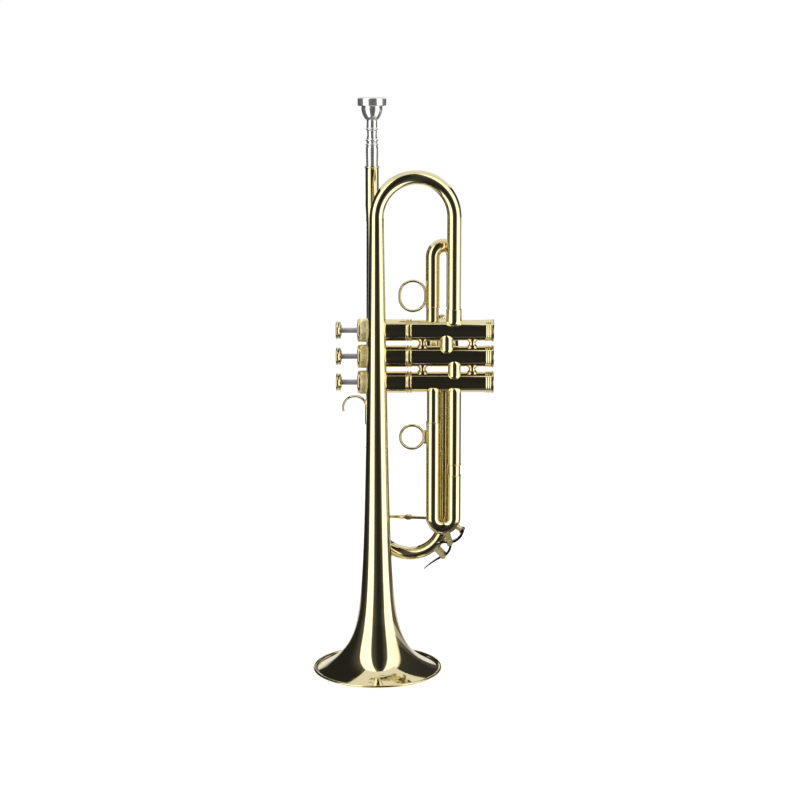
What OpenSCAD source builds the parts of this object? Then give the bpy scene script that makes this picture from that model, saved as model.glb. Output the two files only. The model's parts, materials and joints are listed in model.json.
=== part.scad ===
// Three-valve piston trumpet, standing on its bell.
// Z is the bell's axis, up from the rim plane. X runs along the valves, from the finger buttons
// to the bottom caps. Y runs from the bell across the valves to the leadpipe.

/* [Bell] */
// Diameter over the rolled rim of the bell
bell_d = 123; // [105:0.5:148]
// Height of the bell from its rim plane to the start of the bow
bell_len = 431; // [415:1:518]
// Diameter of the bell's stem where the bow starts
bell_end_d = 13.4; // [12.8:0.1:14]
// Growth of the stem's radius for each millimetre towards the rim
bell_taper = 0.0162; // [0.013:0.0002:0.02]
// Distance over which the flare opens
flare_depth = 50; // [42:1:60]
// How sharply the flare opens
flare_power = 2.8; // [2.3:0.1:3.3]
// Thickness of the bell's sheet
bell_wall = 0.6; // [0.5:0.05:0.8]
// Diameter of the wire that the rim is rolled over
rim_wire_d = 1.8; // [1.4:0.1:2.2]

/* [Bow and tail] */
// X of the tail, which comes down to the first valve
tail_x = 72.1; // [66:0.1:84]
// Distance of the tail from the valve's axis, towards the bell
tail_offset = 5.9; // [5:0.1:6.5]
// Outside diameter of the bow and tail
bow_d = 13.3; // [12.6:0.1:13.6]
// Outside diameter of the ferrule at the end of the tail
tail_ferrule_d = 14.8; // [14.2:0.1:15.4]
// Length of that ferrule above the valve casing
tail_ferrule_len = 11; // [8:0.5:16]

/* [Valves] */
// Height of the middle valve's axis above the rim plane
valve_mid_z = 299.5; // [290:0.5:320]
// Distance from one valve's axis to the next
valve_pitch = 24.7; // [24:0.1:29]
// Gap between the bell's stem and the third valve's casing
bell_gap = 1.1; // [0.6:0.1:3]
// Outside diameter of the lower casing
casing_d = 19.7; // [19.2:0.1:20.2]
// Outside diameter of the upper casing
barrel_d = 20.7; // [20.4:0.1:21.2]
// Bore that the piston runs in
casing_bore = 17.1; // [16.6:0.1:17.4]
// Running clearance between piston and casing, on the radius
piston_clearance = 0.04; // [0.02:0.01:0.08]
// X of the upper end of the casing
casing_top_x = -16.4; // [-20:0.2:-14]
// X of the ledge that carries the valve guide
ledge_x = 30; // [28:0.5:32]
// X of the lower end of the casing
casing_end_x = 105.2; // [103:0.2:112]
// How far a piston travels
stroke = 14; // [12:0.5:15]
// Thickness of a piston's shell
piston_wall = 0.9; // [0.7:0.1:1.2]
// Diameter of the air passages through a piston
port_d = 8; // [6.6:0.1:8.2]

/* [Buttons and caps] */
// Diameter of a finger button
button_d = 17; // [14.5:0.5:20]
// Thickness of a finger button
button_t = 5.6; // [5:0.1:7]
// Height of a finger button's underside over its cap
button_rise = 14.9; // [14.7:0.1:18]
// Diameter of a valve stem
stem_d = 5.1; // [4.4:0.1:6]
// Diameter of a pearl inlay
pearl_d = 13.2; // [11:0.2:13.8]
// Diameter over a top cap's beads
top_cap_d = 22.2; // [21.8:0.1:23]
// Length of a top cap
top_cap_len = 13.4; // [12:0.2:15]
// Diameter over a bottom cap's flange
bottom_cap_d = 21.4; // [21:0.1:22.6]
// Length of a bottom cap
bottom_cap_len = 8.4; // [7.6:0.2:10]
// Thickness of the end wall of a cap
cap_wall = 1.5; // [1.2:0.1:2]

/* [Tubes] */
// Bore of the inner slide tubes
slide_bore = 11.3; // [11:0.1:11.5]
// Outside diameter of the inner slide tubes
inner_d = 12; // [11.8:0.1:12.2]
// Sliding clearance between inner and outer tubes, on the radius
slide_clearance = 0.05; // [0.03:0.01:0.08]
// Outside diameter of the outer slide tubes
outer_d = 13; // [12.8:0.1:13.4]
// Outside diameter of the crooks
crook_d = 12.8; // [12.6:0.1:13]
// Outside diameter of the knuckles between the casings
knuckle_d = 12; // [11:0.1:12.6]
// Height over the valve's axis at which a rounded tube end meets its casing
end_reach = 3.8; // [3:0.1:4.4]
// Smallest gap between tubes that pass each other
tube_gap = 0.5; // [0.4:0.1:1.5]
// X of the knuckle between the first and the second valve
knuckle_a_x = 65.4; // [62:0.1:68]
// X of the knuckle between the second and the third valve
knuckle_b_x = 72.8; // [70:0.1:76]
// Distance of the knuckles from the valve axes, towards the bell
knuckle_offset = 4.8; // [4:0.1:5.5]

/* [First slide] */
// X of the slide's leg nearer the buttons
first_a_x = 52.2; // [48:0.1:54]
// X of the slide's leg nearer the bottom caps
first_b_x = 71.7; // [69:0.1:74]
// Height of the bow's top above the rim plane
first_top_z = 410; // [400:1:424]
// From the tail's ferrule up to the lower ends of the sliding tubes
first_joint_gap = 0.45; // [0.4:0.05:6]
// How far the slide pulls out
first_travel = 18; // [15:1:20]
// Width over the thumb ring
first_ring_w = 27; // [24:0.5:29]
// Height over the thumb ring
first_ring_h = 31; // [29.5:0.5:35]

/* [Second slide] */
// X of the slide's leg nearer the buttons
second_a_x = 53.3; // [51:0.1:54]
// X of the slide's leg nearer the bottom caps
second_b_x = 70.8; // [70:0.1:73]
// Angle of the slide, up from the Y axis
second_tilt = 35; // [28:1:40]
// Length of its fixed tubes from the valve's axis
second_tube_len = 30; // [28:1:36]
// How far the slide pulls out
second_travel = 12; // [8:1:14]

/* [Third slide] */
// X of the slide's leg nearer the buttons
third_a_x = 52.9; // [50:0.1:54]
// X of the slide's leg nearer the bottom caps
third_b_x = 72.9; // [72:0.1:75]
// Distance of the slide from the valve's axis, towards the bell
third_offset = 5.5; // [5:0.1:5.8]
// Height of the bow's underside above the rim plane
third_bottom_z = 128; // [122:1:152]
// Height of the joint in the leg nearer the buttons
third_joint_a_z = 238; // [232:0.5:242]
// Height of the joint in the leg nearer the bottom caps
third_joint_b_z = 196; // [190:0.5:202]
// How far the slide pulls out
third_travel = 20; // [15:1:22]
// Diameter over the finger ring
third_ring_d = 25; // [22:0.5:28]

/* [Tuning slide and leadpipe] */
// X of the leadpipe
lead_x = -4.7; // [-5.6:0.1:-4]
// Y of the leadpipe
lead_y = 41; // [39:0.5:46]
// X of the tuning slide's leg at the third valve
inlet_x = 64; // [62:0.1:66]
// Height of the tuning slide's underside above the rim plane
tuning_bottom_z = 98; // [94:1:108]
// Height of the lower ends of the fixed tuning-slide tubes
tuning_joint_z = 207; // [200:1:214]
// How far the tuning slide pulls out
tuning_travel = 25; // [18:1:28]
// Height of the end of the receiver
receiver_z = 477; // [465:0.5:500]
// Length of the receiver
receiver_len = 52; // [48:0.5:58]
// Diameter of the receiver
receiver_d = 12.9; // [12.8:0.1:14]
// Diameter of the leadpipe at the receiver
lead_top_d = 10.8; // [10.6:0.1:11]

/* [Mouthpiece] */
// Length of the mouthpiece
mouth_len = 88; // [84:0.5:96]
// How much of it stands above the receiver
mouth_proud = 64; // [60:0.5:70]
// Diameter of the rim
mouth_rim_d = 27; // [25:0.2:29]
// Height of the rim band
mouth_rim_h = 8.4; // [7:0.2:10]
// Diameter of the cup at its inner edge
cup_d = 16.5; // [15.5:0.1:17.5]
// Depth of the cup
cup_depth = 12.5; // [11:0.5:14]
// Diameter of the throat
throat_d = 3.7; // [3.3:0.1:4.2]
// Diameter of the shank at the lower end
shank_end_d = 9.7; // [9.5:0.05:9.9]
// Growth of the shank's diameter for each millimetre
shank_taper = 0.05; // [0.045:0.001:0.055]
// Clearance between shank and receiver, on the radius
shank_clearance = 0.03; // [0.02:0.01:0.05]

/* [Water keys] */
// Angle of the tuning slide's drain nipple on its bow
tuning_nipple_angle = -29; // [-32:1:-26]
// Angle of the tuning slide's key pivot
tuning_pivot_angle = -45.5; // [-48:0.5:-44]
// Angle of the third slide's drain nipple on its bow
third_nipple_angle = -34; // [-37:1:-31]
// Angle of the third slide's key pivot
third_pivot_angle = -74.5; // [-78:0.5:-71]
// Length of the tuning slide's finger lever
tuning_lever_len = 23.5; // [20:0.5:26]
// Length of the third slide's finger lever
third_lever_len = 14; // [12:0.5:17]
// Height of a pivot over its tube
pivot_rise = 8.4; // [8:0.1:9]
// Diameter of a drain nipple
nipple_d = 5; // [4.6:0.1:5.4]
// Height of a drain nipple over its tube
nipple_rise = 3.4; // [3:0.1:3.8]
// Diameter of a pivot screw
key_screw_d = 2.2; // [2:0.1:2.4]

/* [Hidden] */
$fn = 96;
BRASS = [0.83, 0.68, 0.33];
SILVER = [0.78, 0.79, 0.8];
STEEL = [0.55, 0.56, 0.58];
PEARL = [0.95, 0.94, 0.9];
FELT = [0.55, 0.12, 0.14];
CORK = [0.72, 0.55, 0.36];
NYLON = [0.93, 0.93, 0.9];
DARK = [0.2, 0.17, 0.15];

// bell
rim_bead_r = rim_wire_d / 2 + 0.45;
rim_land = 0.6;
rim_r = bell_d / 2 - rim_bead_r;
flare_share = pow(flare_depth / (bell_len + flare_depth), flare_power);
flare_steps = 36;
function bell_r(z) = bell_end_d / 2 + bell_taper * (bell_len - z)
    + (rim_r - bell_end_d / 2 - bell_taper * bell_len)
    * (pow(flare_depth / (z + flare_depth), flare_power) - flare_share) / (1 - flare_share);
function bell_slope(z) = (bell_r(z + 0.01) - bell_r(z)) / 0.01;
function flare_z(i) = bell_len * pow(i / flare_steps, 2.2);
function bell_point(z, depth) = [bell_r(z), z] - depth / norm([1, bell_slope(z)]) * [1, -bell_slope(z)];

// valves
valve_z = [valve_mid_z + valve_pitch, valve_mid_z, valve_mid_z - valve_pitch];
valve_y = bell_r(valve_z[2]) + bell_gap + barrel_d / 2;
piston_d = casing_bore - 2 * piston_clearance;
barrel_bore = casing_bore + 0.9;
piston_top_x = ledge_x + 1;
cap_skirt = 3.7;
piston_end_x = casing_end_x + bottom_cap_len - cap_skirt - cap_wall - stroke - 0.2;
port_reach = 5;
spring_box_d = piston_d - 1.4;
spring_box_bore = spring_box_d - 2;
spring_box_plate = 2;
cap_top_x = casing_top_x - cap_wall - 0.5;
felt_t = 1.8;
felt_gap = 0.1;
spring_box_x = casing_top_x - 0.5 + felt_gap + felt_t;
guide_t = 2.6;
guide_lug_w = 4;
guide_gap = 0.15;
stem_top_x = cap_top_x - button_rise - button_t + 2.4;
button_x = cap_top_x - button_rise;
stem_hole_d = stem_d + 1.6;
cap_felt_d = 12;
cap_felt_t = 1;
cap_clearance = 0.05;
spring_d = 10;
spring_wire_d = 0.8;
spring_turns = 9;

// tubes
step = 0.02;
joint_gap = 0.02;
outer_bore = inner_d + 2 * slide_clearance;
tail_y = valve_y - tail_offset;
tail = [tail_x, tail_y];
bow_r = norm(tail) / 2;
knuckle_y = valve_y - knuckle_offset;
first_a = [first_a_x, valve_y + 1.6];
first_b = [first_b_x, tail_y + max(tail_ferrule_d + inner_d, bow_d + outer_d) / 2 + tube_gap];
first_r = norm(first_b - first_a) / 2;
first_joint_z = valve_z[0] + casing_d / 2 + tail_ferrule_len + first_joint_gap;
first_arc_z = first_top_z - outer_d / 2 - first_r;
third_y = valve_y - third_offset;
third_a = [third_a_x, third_y];
third_b = [third_b_x, third_y];
third_r = (third_b_x - third_a_x) / 2;
third_arc_z = third_bottom_z + outer_d / 2 + third_r;
inlet = [inlet_x, third_y + outer_d + tube_gap];
lead = [lead_x, lead_y];
tuning_r = norm(inlet - lead) / 2;
tuning_arc_z = tuning_bottom_z + crook_d / 2 + tuning_r;
tuning_turn = atan2(inlet.y - lead.y, inlet.x - lead.x);
tuning_mid = [(inlet.x + lead.x) / 2, (inlet.y + lead.y) / 2, tuning_arc_z - joint_gap];
third_mid = [(third_a_x + third_b_x) / 2, third_y, third_arc_z];
tuning_ferrule_len = 29;
tuning_show = 4;
second_r = (second_b_x - second_a_x) / 2;
second_arc = second_tube_len + 5;
ring_band = 2.7;
ring_w = 5;
ferrule_t = 0.45;
bead_t = 0.6;
vent_d = 3.2;

// leadpipe and mouthpiece
receiver_bottom_z = receiver_z - receiver_len;
shank_z = receiver_z + mouth_proud - mouth_len;
lead_end_d = outer_bore - 0.1;
lead_wall = 0.5;
sleeve_top_z = valve_z[2] - 13;
lead_end_z = sleeve_top_z - 8;
hook_r = 11.2;
hook_t = 2.4;
hook_w = 8;

// water keys
key_posts = 4;
post_t = 1.1;
key_gap = 0.3;
barrel_out_d = 4.2;
lever_t = 2.3;
lever_w = 4.2;
cork_t = 2.2;
cork_d = nipple_d + 0.6;

// ---------------------------------------------------------------- helpers

// Points of an arc from angle a to angle b
function arc(c, r, a, b, n = 12) =
    [for (i = [0:n]) let (t = a + (b - a) * i / n) c + r * [cos(t), sin(t)]];

// Points of a quadratic curve with its two sides set off by a half thickness that tapers
function curve(p, q, s, t) = (1 - t) * (1 - t) * p + 2 * t * (1 - t) * q + t * t * s;
function heading(p, q, s, t) = let (d = (1 - t) * (q - p) + t * (s - q)) d / norm(d);
function side(p, q, s, t, h) = let (d = heading(p, q, s, t)) curve(p, q, s, t) + h * [-d.y, d.x];
function ribbon(p, q, s, ta, tb, n = 10) = concat(
    [for (i = [0:n]) side(p, q, s, i / n, (ta + (tb - ta) * i / n) / 2)],
    [for (i = [n:-1:0]) side(p, q, s, i / n, -(ta + (tb - ta) * i / n) / 2)]
);

module rod_x(d, x0, x1) {
    translate([x0, 0, 0]) rotate([0, 90, 0]) cylinder(h = x1 - x0, d = d);
}

module tube_x(d, bore, x0, x1) {
    difference() {
        rod_x(d, x0, x1);
        rod_x(bore, x0 - 1, x1 + 1);
    }
}

module rod_z(p, d, z0, z1) {
    translate([p.x, p.y, z0]) cylinder(h = z1 - z0, d = d);
}

// Solid of revolution about X from points of [radius, x]
module turned_x(points) {
    rotate([0, 90, 0]) rotate_extrude() polygon(points);
}

// Cylinder from one point to another
module strut(p, q, d) {
    v = q - p;
    translate(p) rotate([0, acos(v.z / norm(v)), atan2(v.y, v.x)]) cylinder(h = norm(v), d = d);
}

module at_valve(k) {
    translate([0, valve_y, valve_z[k]]) children();
}

// Frame halfway between two upright legs, with X from one to the other
module in_legs(p, q) {
    translate([(p.x + q.x) / 2, (p.y + q.y) / 2, 0]) rotate([0, 0, atan2(q.y - p.y, q.x - p.x)]) children();
}

// Half ring of tube between two legs that stand r from the frame's Z, pointing up or down from height z
module bow(r, z, up, d, bore) {
    translate([0, 0, z]) rotate([up ? 90 : -90, 0, 0]) rotate_extrude(angle = 180) translate([r, 0])
        difference() {
            circle(d = d);
            circle(d = bore);
        }
}

// Distance of a round tube end's centre from the valve axis, for a tube set off from that axis
function end_at(off, d) = end_reach
    + sqrt(max(0, pow(d / 2, 2) - pow(sqrt(pow(casing_d / 2, 2) - pow(end_reach, 2)) - off, 2)));

// Round-ended rod that starts near the valve axis and runs away along Z
module round_end(d, at, len) {
    rotate_extrude() intersection() {
        union() {
            translate([0, at]) circle(d = d);
            translate([0, at]) square([d / 2, len - at]);
        }
        translate([0, at - d]) square([d, len + d]);
    }
}

// The rounded end of a tube at valve k: p is the tube's place, up tells which way it runs,
// reach is its length from the valve axis and centre_d sets where its round end is centred
module end_rod(k, p, up, d, centre_d, reach) {
    translate([p.x, p.y, valve_z[k]]) mirror([0, 0, up ? 0 : 1])
        round_end(d, end_at(abs(p.y - valve_y), centre_d), reach);
}

// A fixed tube on valve k, with its bore carried through to the casing's wall
module end_tube(k, p, up, d, bore, reach) {
    difference() {
        end_rod(k, p, up, d, d, reach);
        end_rod(k, p, up, bore, d, reach + 1);
        at_valve(k) rod_x(casing_d, p.x - d, p.x + d);
    }
}

// Turned pillar between two points, with a foot at each end and a bead in the middle
module pillar(p, q, foot_d, waist_d, bead_d, foot_t = 1.6) {
    v = q - p;
    l = norm(v);
    slope = min(1.2, (l / 2 - foot_t) / 2);
    reach = min(bead_d * 0.6, l / 2 - foot_t - slope);
    translate(p) rotate([0, acos(v.z / l), atan2(v.y, v.x)]) rotate_extrude() polygon([
        [0, 0], [foot_d / 2, 0], [foot_d / 2, foot_t], [waist_d / 2, foot_t + slope],
        [waist_d / 2 + 0.3, l / 2 - reach], [bead_d / 2, l / 2 - reach / 2.4],
        [bead_d / 2, l / 2 + reach / 2.4], [waist_d / 2 + 0.3, l / 2 + reach],
        [waist_d / 2, l - foot_t - slope], [foot_d / 2, l - foot_t], [foot_d / 2, l], [0, l]
    ]);
}

// ---------------------------------------------------------------- bell

// The bell's outside as a filled solid, which the braces are cut to
module bell_form() {
    rotate_extrude() polygon(concat(
        [[0, flare_z(1)]], [for (i = [1:flare_steps]) bell_point(flare_z(i), 0)], [[0, bell_len]]
    ));
}

// Flare and stem, with the rim rolled back over its wire
module flare() {
    rotate_extrude() difference() {
        union() {
            polygon(concat(
                [for (i = [1:flare_steps]) bell_point(flare_z(i), 0)],
                [[bell_end_d / 2 - bell_wall, bell_len]],
                [for (i = [flare_steps - 1:-1:1]) bell_point(flare_z(i), bell_wall)]
            ));
            translate([rim_r - rim_land, rim_bead_r]) circle(r = rim_bead_r, $fn = 48);
            translate([rim_r, rim_bead_r]) circle(r = rim_bead_r, $fn = 48);
            translate([rim_r - rim_land, 0]) square([rim_land, 2 * rim_bead_r]);
        }
        translate([rim_r, rim_bead_r]) circle(d = rim_wire_d + 0.1, $fn = 48);
    }
}

// Tail and its ferrule, ending round on the first valve
module tail_pipe() {
    ferrule_len = casing_d / 2 + tail_ferrule_len;
    difference() {
        union() {
            rod_z(tail, bow_d, valve_z[0] + ferrule_len - 1, bell_len);
            end_rod(0, tail, true, tail_ferrule_d, tail_ferrule_d, ferrule_len);
        }
        end_rod(0, tail, true, bow_d - 2 * bell_wall, tail_ferrule_d, bell_len - valve_z[0] + 1);
        at_valve(0) rod_x(casing_d, tail_x - bow_d, tail_x + bow_d);
    }
}

module bell() {
    color(BRASS) in_legs([0, 0], tail) {
        translate([-bow_r, 0, 0]) flare();
        bow(bow_r, bell_len + joint_gap, true, bow_d, bow_d - 2 * bell_wall);
        translate([bow_r, 0, 0]) rotate([0, 0, -atan2(tail.y, tail.x)])
            translate([-tail.x, -tail.y, 0]) tail_pipe();
    }
}

module rim_wire() {
    color(STEEL) rotate_extrude() translate([rim_r, rim_bead_r]) circle(d = rim_wire_d, $fn = 48);
}

// ---------------------------------------------------------------- leadpipe

module receiver() {
    r = receiver_d / 2;
    mouth_r = shank_end_d / 2 + shank_taper / 2 * (receiver_z - shank_z) + shank_clearance;
    seat_r = shank_end_d / 2 + shank_clearance;
    low_r = lead_top_d / 2 + 0.35;
    color(BRASS) translate([lead.x, lead.y, 0]) rotate_extrude() polygon(concat(
        [[mouth_r, receiver_z], [r, receiver_z]],
        arc([r, receiver_z - 1.4], bead_t, 80, -80, 8),
        [
            [r - 0.2, receiver_z - 3], [r - 0.2, receiver_bottom_z + 18],
            [r - 0.1, receiver_bottom_z + 16], [low_r, receiver_bottom_z + 6.5], [low_r, receiver_bottom_z],
            [lead_top_d / 2 + step, receiver_bottom_z], [lead_top_d / 2 + step, shank_z - 3],
            [seat_r, shank_z - 3], [seat_r, shank_z - 0.5]
        ]
    ));
}

module leadpipe() {
    top = shank_z - 3.2;
    grip = top - receiver_len / 2;
    color(BRASS) translate([lead.x, lead.y, 0]) rotate_extrude() polygon([
        [lead_top_d / 2 - 0.8, top], [lead_top_d / 2, top], [lead_top_d / 2, grip],
        [lead_end_d / 2, sleeve_top_z + 2], [lead_end_d / 2, lead_end_z],
        [lead_end_d / 2 - lead_wall, lead_end_z]
    ]);
}

// Bead around a tube's end
module end_bead(p, d, z) {
    translate([p.x, p.y, z]) rotate_extrude() translate([d / 2, 0]) circle(r = bead_t, $fn = 32);
}

module tuning_slide_tubes() {
    reach = valve_z[2] - tuning_joint_z;
    color(BRASS) {
        difference() {
            union() {
                rod_z(lead, outer_d, tuning_joint_z, sleeve_top_z);
                end_bead(lead, outer_d, tuning_joint_z + bead_t);
                end_bead(lead, outer_d, sleeve_top_z - bead_t);
            }
            rod_z(lead, outer_bore, tuning_joint_z - 1, sleeve_top_z + 1);
        }
        difference() {
            union() {
                end_tube(2, inlet, false, outer_d, outer_bore, reach);
                end_bead(inlet, outer_d, tuning_joint_z + bead_t);
            }
            rod_z(inlet, outer_bore, tuning_joint_z - 1, tuning_joint_z + 4);
        }
    }
}

module tuning_slide() {
    ferrule_top = tuning_joint_z - tuning_show;
    ferrule_end = ferrule_top - tuning_ferrule_len;
    inner_top = lead_end_z - 4.8;
    color(BRASS) difference() {
        in_legs(lead, inlet) {
            for (x = [-tuning_r, tuning_r]) difference() {
                union() {
                    rod_z([x, 0], inner_d, ferrule_end - 1, inner_top);
                    rod_z([x, 0], outer_d, ferrule_end, ferrule_top);
                    rod_z([x, 0], crook_d, tuning_arc_z, ferrule_end + 1);
                    end_bead([x, 0], outer_d, ferrule_end + bead_t);
                }
                rod_z([x, 0], slide_bore, tuning_arc_z - 1, inner_top + 1);
            }
            bow(tuning_r, tuning_arc_z - joint_gap, false, crook_d, slide_bore);
        }
        in_bow(tuning_mid, tuning_turn) drain(tuning_r, tuning_nipple_angle, crook_d);
    }
}

module tuning_brace() {
    v = [cos(tuning_turn), sin(tuning_turn), 0];
    a = [lead.x, lead.y, tuning_arc_z] + (crook_d / 2 - 1) * v;
    b = [inlet.x, inlet.y, tuning_arc_z] - (crook_d / 2 - 1) * v;
    color(BRASS) translate([0, 0, 1]) difference() {
        pillar(a, b, 6.4, 3.1, 5.8, 2.2);
        for (p = [lead, inlet]) rod_z(p, crook_d, tuning_arc_z - 6, tuning_arc_z + 6);
    }
}

// Open hook for the little finger, on a curved foot soldered to the leadpipe's sleeve
module finger_hook() {
    foot_top = sleeve_top_z - 6;
    c = [lead.x - outer_d / 2 - hook_r + 0.6, foot_top - 9];
    color(BRASS) difference() {
        union() {
            translate([c.x, lead.y, c.y]) rotate([90, 0, 0]) translate([0, 0, -hook_w / 2])
                linear_extrude(hook_w) polygon(concat(
                    arc([0, 0], hook_r + hook_t / 2, -8, 200, 24),
                    arc([0, 0], hook_r - hook_t / 2, 200, -8, 24)
                ));
            translate([lead.x, lead.y, foot_top - 26]) linear_extrude(26) polygon(concat(
                arc([0, 0], outer_d / 2 + 1, 142, 218), arc([0, 0], outer_d / 2 - 1, 218, 142)
            ));
        }
        rod_z(lead, outer_d, foot_top - 30, foot_top + 4);
    }
}

// ---------------------------------------------------------------- mouthpiece

module mouthpiece() {
    r = mouth_rim_d / 2;
    shank_top = -mouth_len + 40;
    shank_top_r = shank_end_d / 2 + shank_taper / 2 * 40;
    color(SILVER) translate([lead.x, lead.y, receiver_z + mouth_proud]) rotate_extrude() polygon(concat(
        // outside, from the rim down
        arc([r - 2.2, -2.2], 2.2, 90, 0, 8),
        [[r, -mouth_rim_h + 0.6], [r - 0.6, -mouth_rim_h], [9.7, -mouth_rim_h], [9.9, -mouth_rim_h - 1.8]],
        [for (i = [1:12]) [5 + 4.9 * pow(1 - pow(i / 12, 2), 0.8), -mouth_rim_h - 1.8 - 11.4 * i / 12]],
        [[4.9, -23.6], [5.1, -28.4]], arc([5.2, -29.7], 0.8, 80, -80, 6),
        [[4.7, -31.2], [4.5, -35], [5, -38.2]],
        arc([5.2, -40], 0.95, 80, -80, 6), [[5, -42]], arc([5.2, -44], 0.95, 80, -80, 6),
        [[shank_top_r, shank_top + 0.6], [shank_top_r, shank_top], [shank_end_d / 2, -mouth_len]],
        // inside, from the shank's end up to the cup
        [[shank_end_d / 2 - 0.5, -mouth_len], [throat_d / 2, -cup_depth - 9], [throat_d / 2, -cup_depth - 2]],
        [for (i = [0:8]) [throat_d / 2 + (cup_d - throat_d) / 2 * pow(sin(90 * i / 8), 0.8),
            -cup_depth - 1 + (cup_depth - 0.6) * (1 - cos(90 * i / 8))]],
        arc([cup_d / 2 + 1.6, -1.6], 1.6, 180, 90, 6)
    ));
}

// ---------------------------------------------------------------- valves

// Air ways that end in the wall of valve k: [place, runs up, diameter that the round end follows]
function ports(k) =
    k == 0 ? [[tail, true, tail_ferrule_d], [first_a, true, inner_d], [first_b, true, inner_d],
              [[knuckle_a_x, knuckle_y], false, knuckle_d]]
  : k == 1 ? [[[knuckle_a_x, knuckle_y], true, knuckle_d], [[knuckle_b_x, knuckle_y], false, knuckle_d]]
  : [[[knuckle_b_x, knuckle_y], true, knuckle_d], [third_a, false, inner_d],
     [third_b, false, outer_d], [inlet, false, outer_d]];

module casing(k) {
    color(BRASS) difference() {
        at_valve(k) turned_x(concat(
            [
                [casing_bore / 2 + 0.45, casing_top_x], [barrel_d / 2, casing_top_x],
                [barrel_d / 2, ledge_x - 3], [barrel_d / 2 - 0.5, ledge_x - 2.2]
            ],
            arc([barrel_d / 2, ledge_x - 1], 0.7, -120, 120, 8),
            arc([barrel_d / 2 - 0.1, ledge_x + 1.8], 0.7, -120, 120, 8),
            [
                [casing_d / 2, ledge_x + 3.2], [casing_d / 2, casing_end_x],
                [casing_bore / 2, casing_end_x], [casing_bore / 2, ledge_x], [barrel_bore / 2, ledge_x]
            ]
        ));
        for (p = ports(k)) end_rod(k, p[0], p[1], slide_bore - 0.4, p[2], casing_d);
        if (k == 1) for (x = [second_a_x, second_b_x]) second_frame(x) cylinder(h = 14, d = slide_bore - 0.4);
    }
}

module top_cap(k) {
    r = top_cap_d / 2;
    x0 = cap_top_x;
    x1 = cap_top_x + top_cap_len;
    color(BRASS) at_valve(k) turned_x(concat(
        [[stem_hole_d / 2, x0 + cap_felt_t], [cap_felt_d / 2, x0 + cap_felt_t], [cap_felt_d / 2, x0]],
        arc([r - 1.2, x0 + 1.2], 1.2, -90, 0, 6),
        [[r, x0 + 2.4], [r - 0.4, x0 + 2.9], [r - 0.4, x1 - 3.4]],
        arc([r - 0.6, x1 - 2], 0.9, -70, 70, 6),
        [
            [r - 0.7, x1], [barrel_d / 2 + cap_clearance, x1],
            [barrel_d / 2 + cap_clearance, casing_top_x - 0.5], [stem_hole_d / 2, casing_top_x - 0.5]
        ]
    ));
}

module bottom_cap(k) {
    r = bottom_cap_d / 2;
    x1 = casing_end_x - cap_skirt + bottom_cap_len;
    rib = r - 0.75;
    color(BRASS) at_valve(k) turned_x(concat(
        [[casing_d / 2 + cap_clearance, casing_end_x - cap_skirt], [rib, casing_end_x - cap_skirt]],
        [for (x = [x1 - 7.2, x1 - 5.4, x1 - 3.6], p = [[0, -0.2], [0.45, 0], [0, 0.9]]) [rib + p.x, x + p.y]],
        [
            [rib, x1 - 2.1], [r, x1 - 1.9], [r, x1 - 0.6], [r - 0.6, x1],
            [2.2, x1], [2.2, x1 - cap_wall], [casing_bore / 2 + 0.4, x1 - cap_wall],
            [casing_bore / 2 + 0.4, casing_end_x + step], [casing_d / 2 + cap_clearance, casing_end_x + step]
        ]
    ));
}

// Way through a piston from one port to another, straight or turning near its axis
module passage(a, b, d) {
    m = [(a.x + b.x) / 2, (a.y + b.y) * 0.12, (a.z + b.z) * 0.12];
    bend = norm(cross(a - m, b - m)) / (norm(a - m) * norm(b - m));
    along = 3 * (b - a) / norm(b - a);
    if (bend < 0.3) {
        strut(a - along, b + along, d);
    } else {
        for (p = [a, b]) strut(m, p + 3 * (p - m) / norm(p - m), d);
        translate(m) sphere(d = d + 0.1);
    }
}

// A port's centre on the piston: x along the valve, y across it, up or down
function port(x, y, up) = [x, y, (up ? 1 : -1) * sqrt(pow(piston_d / 2, 2) - y * y)];
function tilt_port(x) = [x, piston_d / 2 * cos(second_tilt), piston_d / 2 * sin(second_tilt)];
function passages(k) =
    k == 0 ? [
        [port(knuckle_a_x, -knuckle_offset, false), port(tail_x, -tail_offset, true)],
        [port(knuckle_a_x - stroke, -knuckle_offset, false), port(first_a_x - stroke, 1.6, true)],
        [port(first_b_x - stroke, port_reach, true), port(tail_x - stroke, -tail_offset, true)]
    ]
  : k == 1 ? [
        [port(knuckle_a_x, -knuckle_offset, true), port(knuckle_b_x, -knuckle_offset, false)],
        [port(knuckle_a_x - stroke, -knuckle_offset, true), tilt_port(second_a_x - stroke)],
        [port(knuckle_b_x - stroke, -knuckle_offset, false), tilt_port(second_b_x - stroke)]
    ]
  : [
        [port(knuckle_b_x, -knuckle_offset, true), port(inlet_x, port_reach, false)],
        [port(knuckle_b_x - stroke, -knuckle_offset, true), port(third_b_x - stroke, -third_offset, false)],
        [port(third_a_x - stroke, -third_offset, false), port(inlet_x - stroke, port_reach, false)]
    ];

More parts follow.
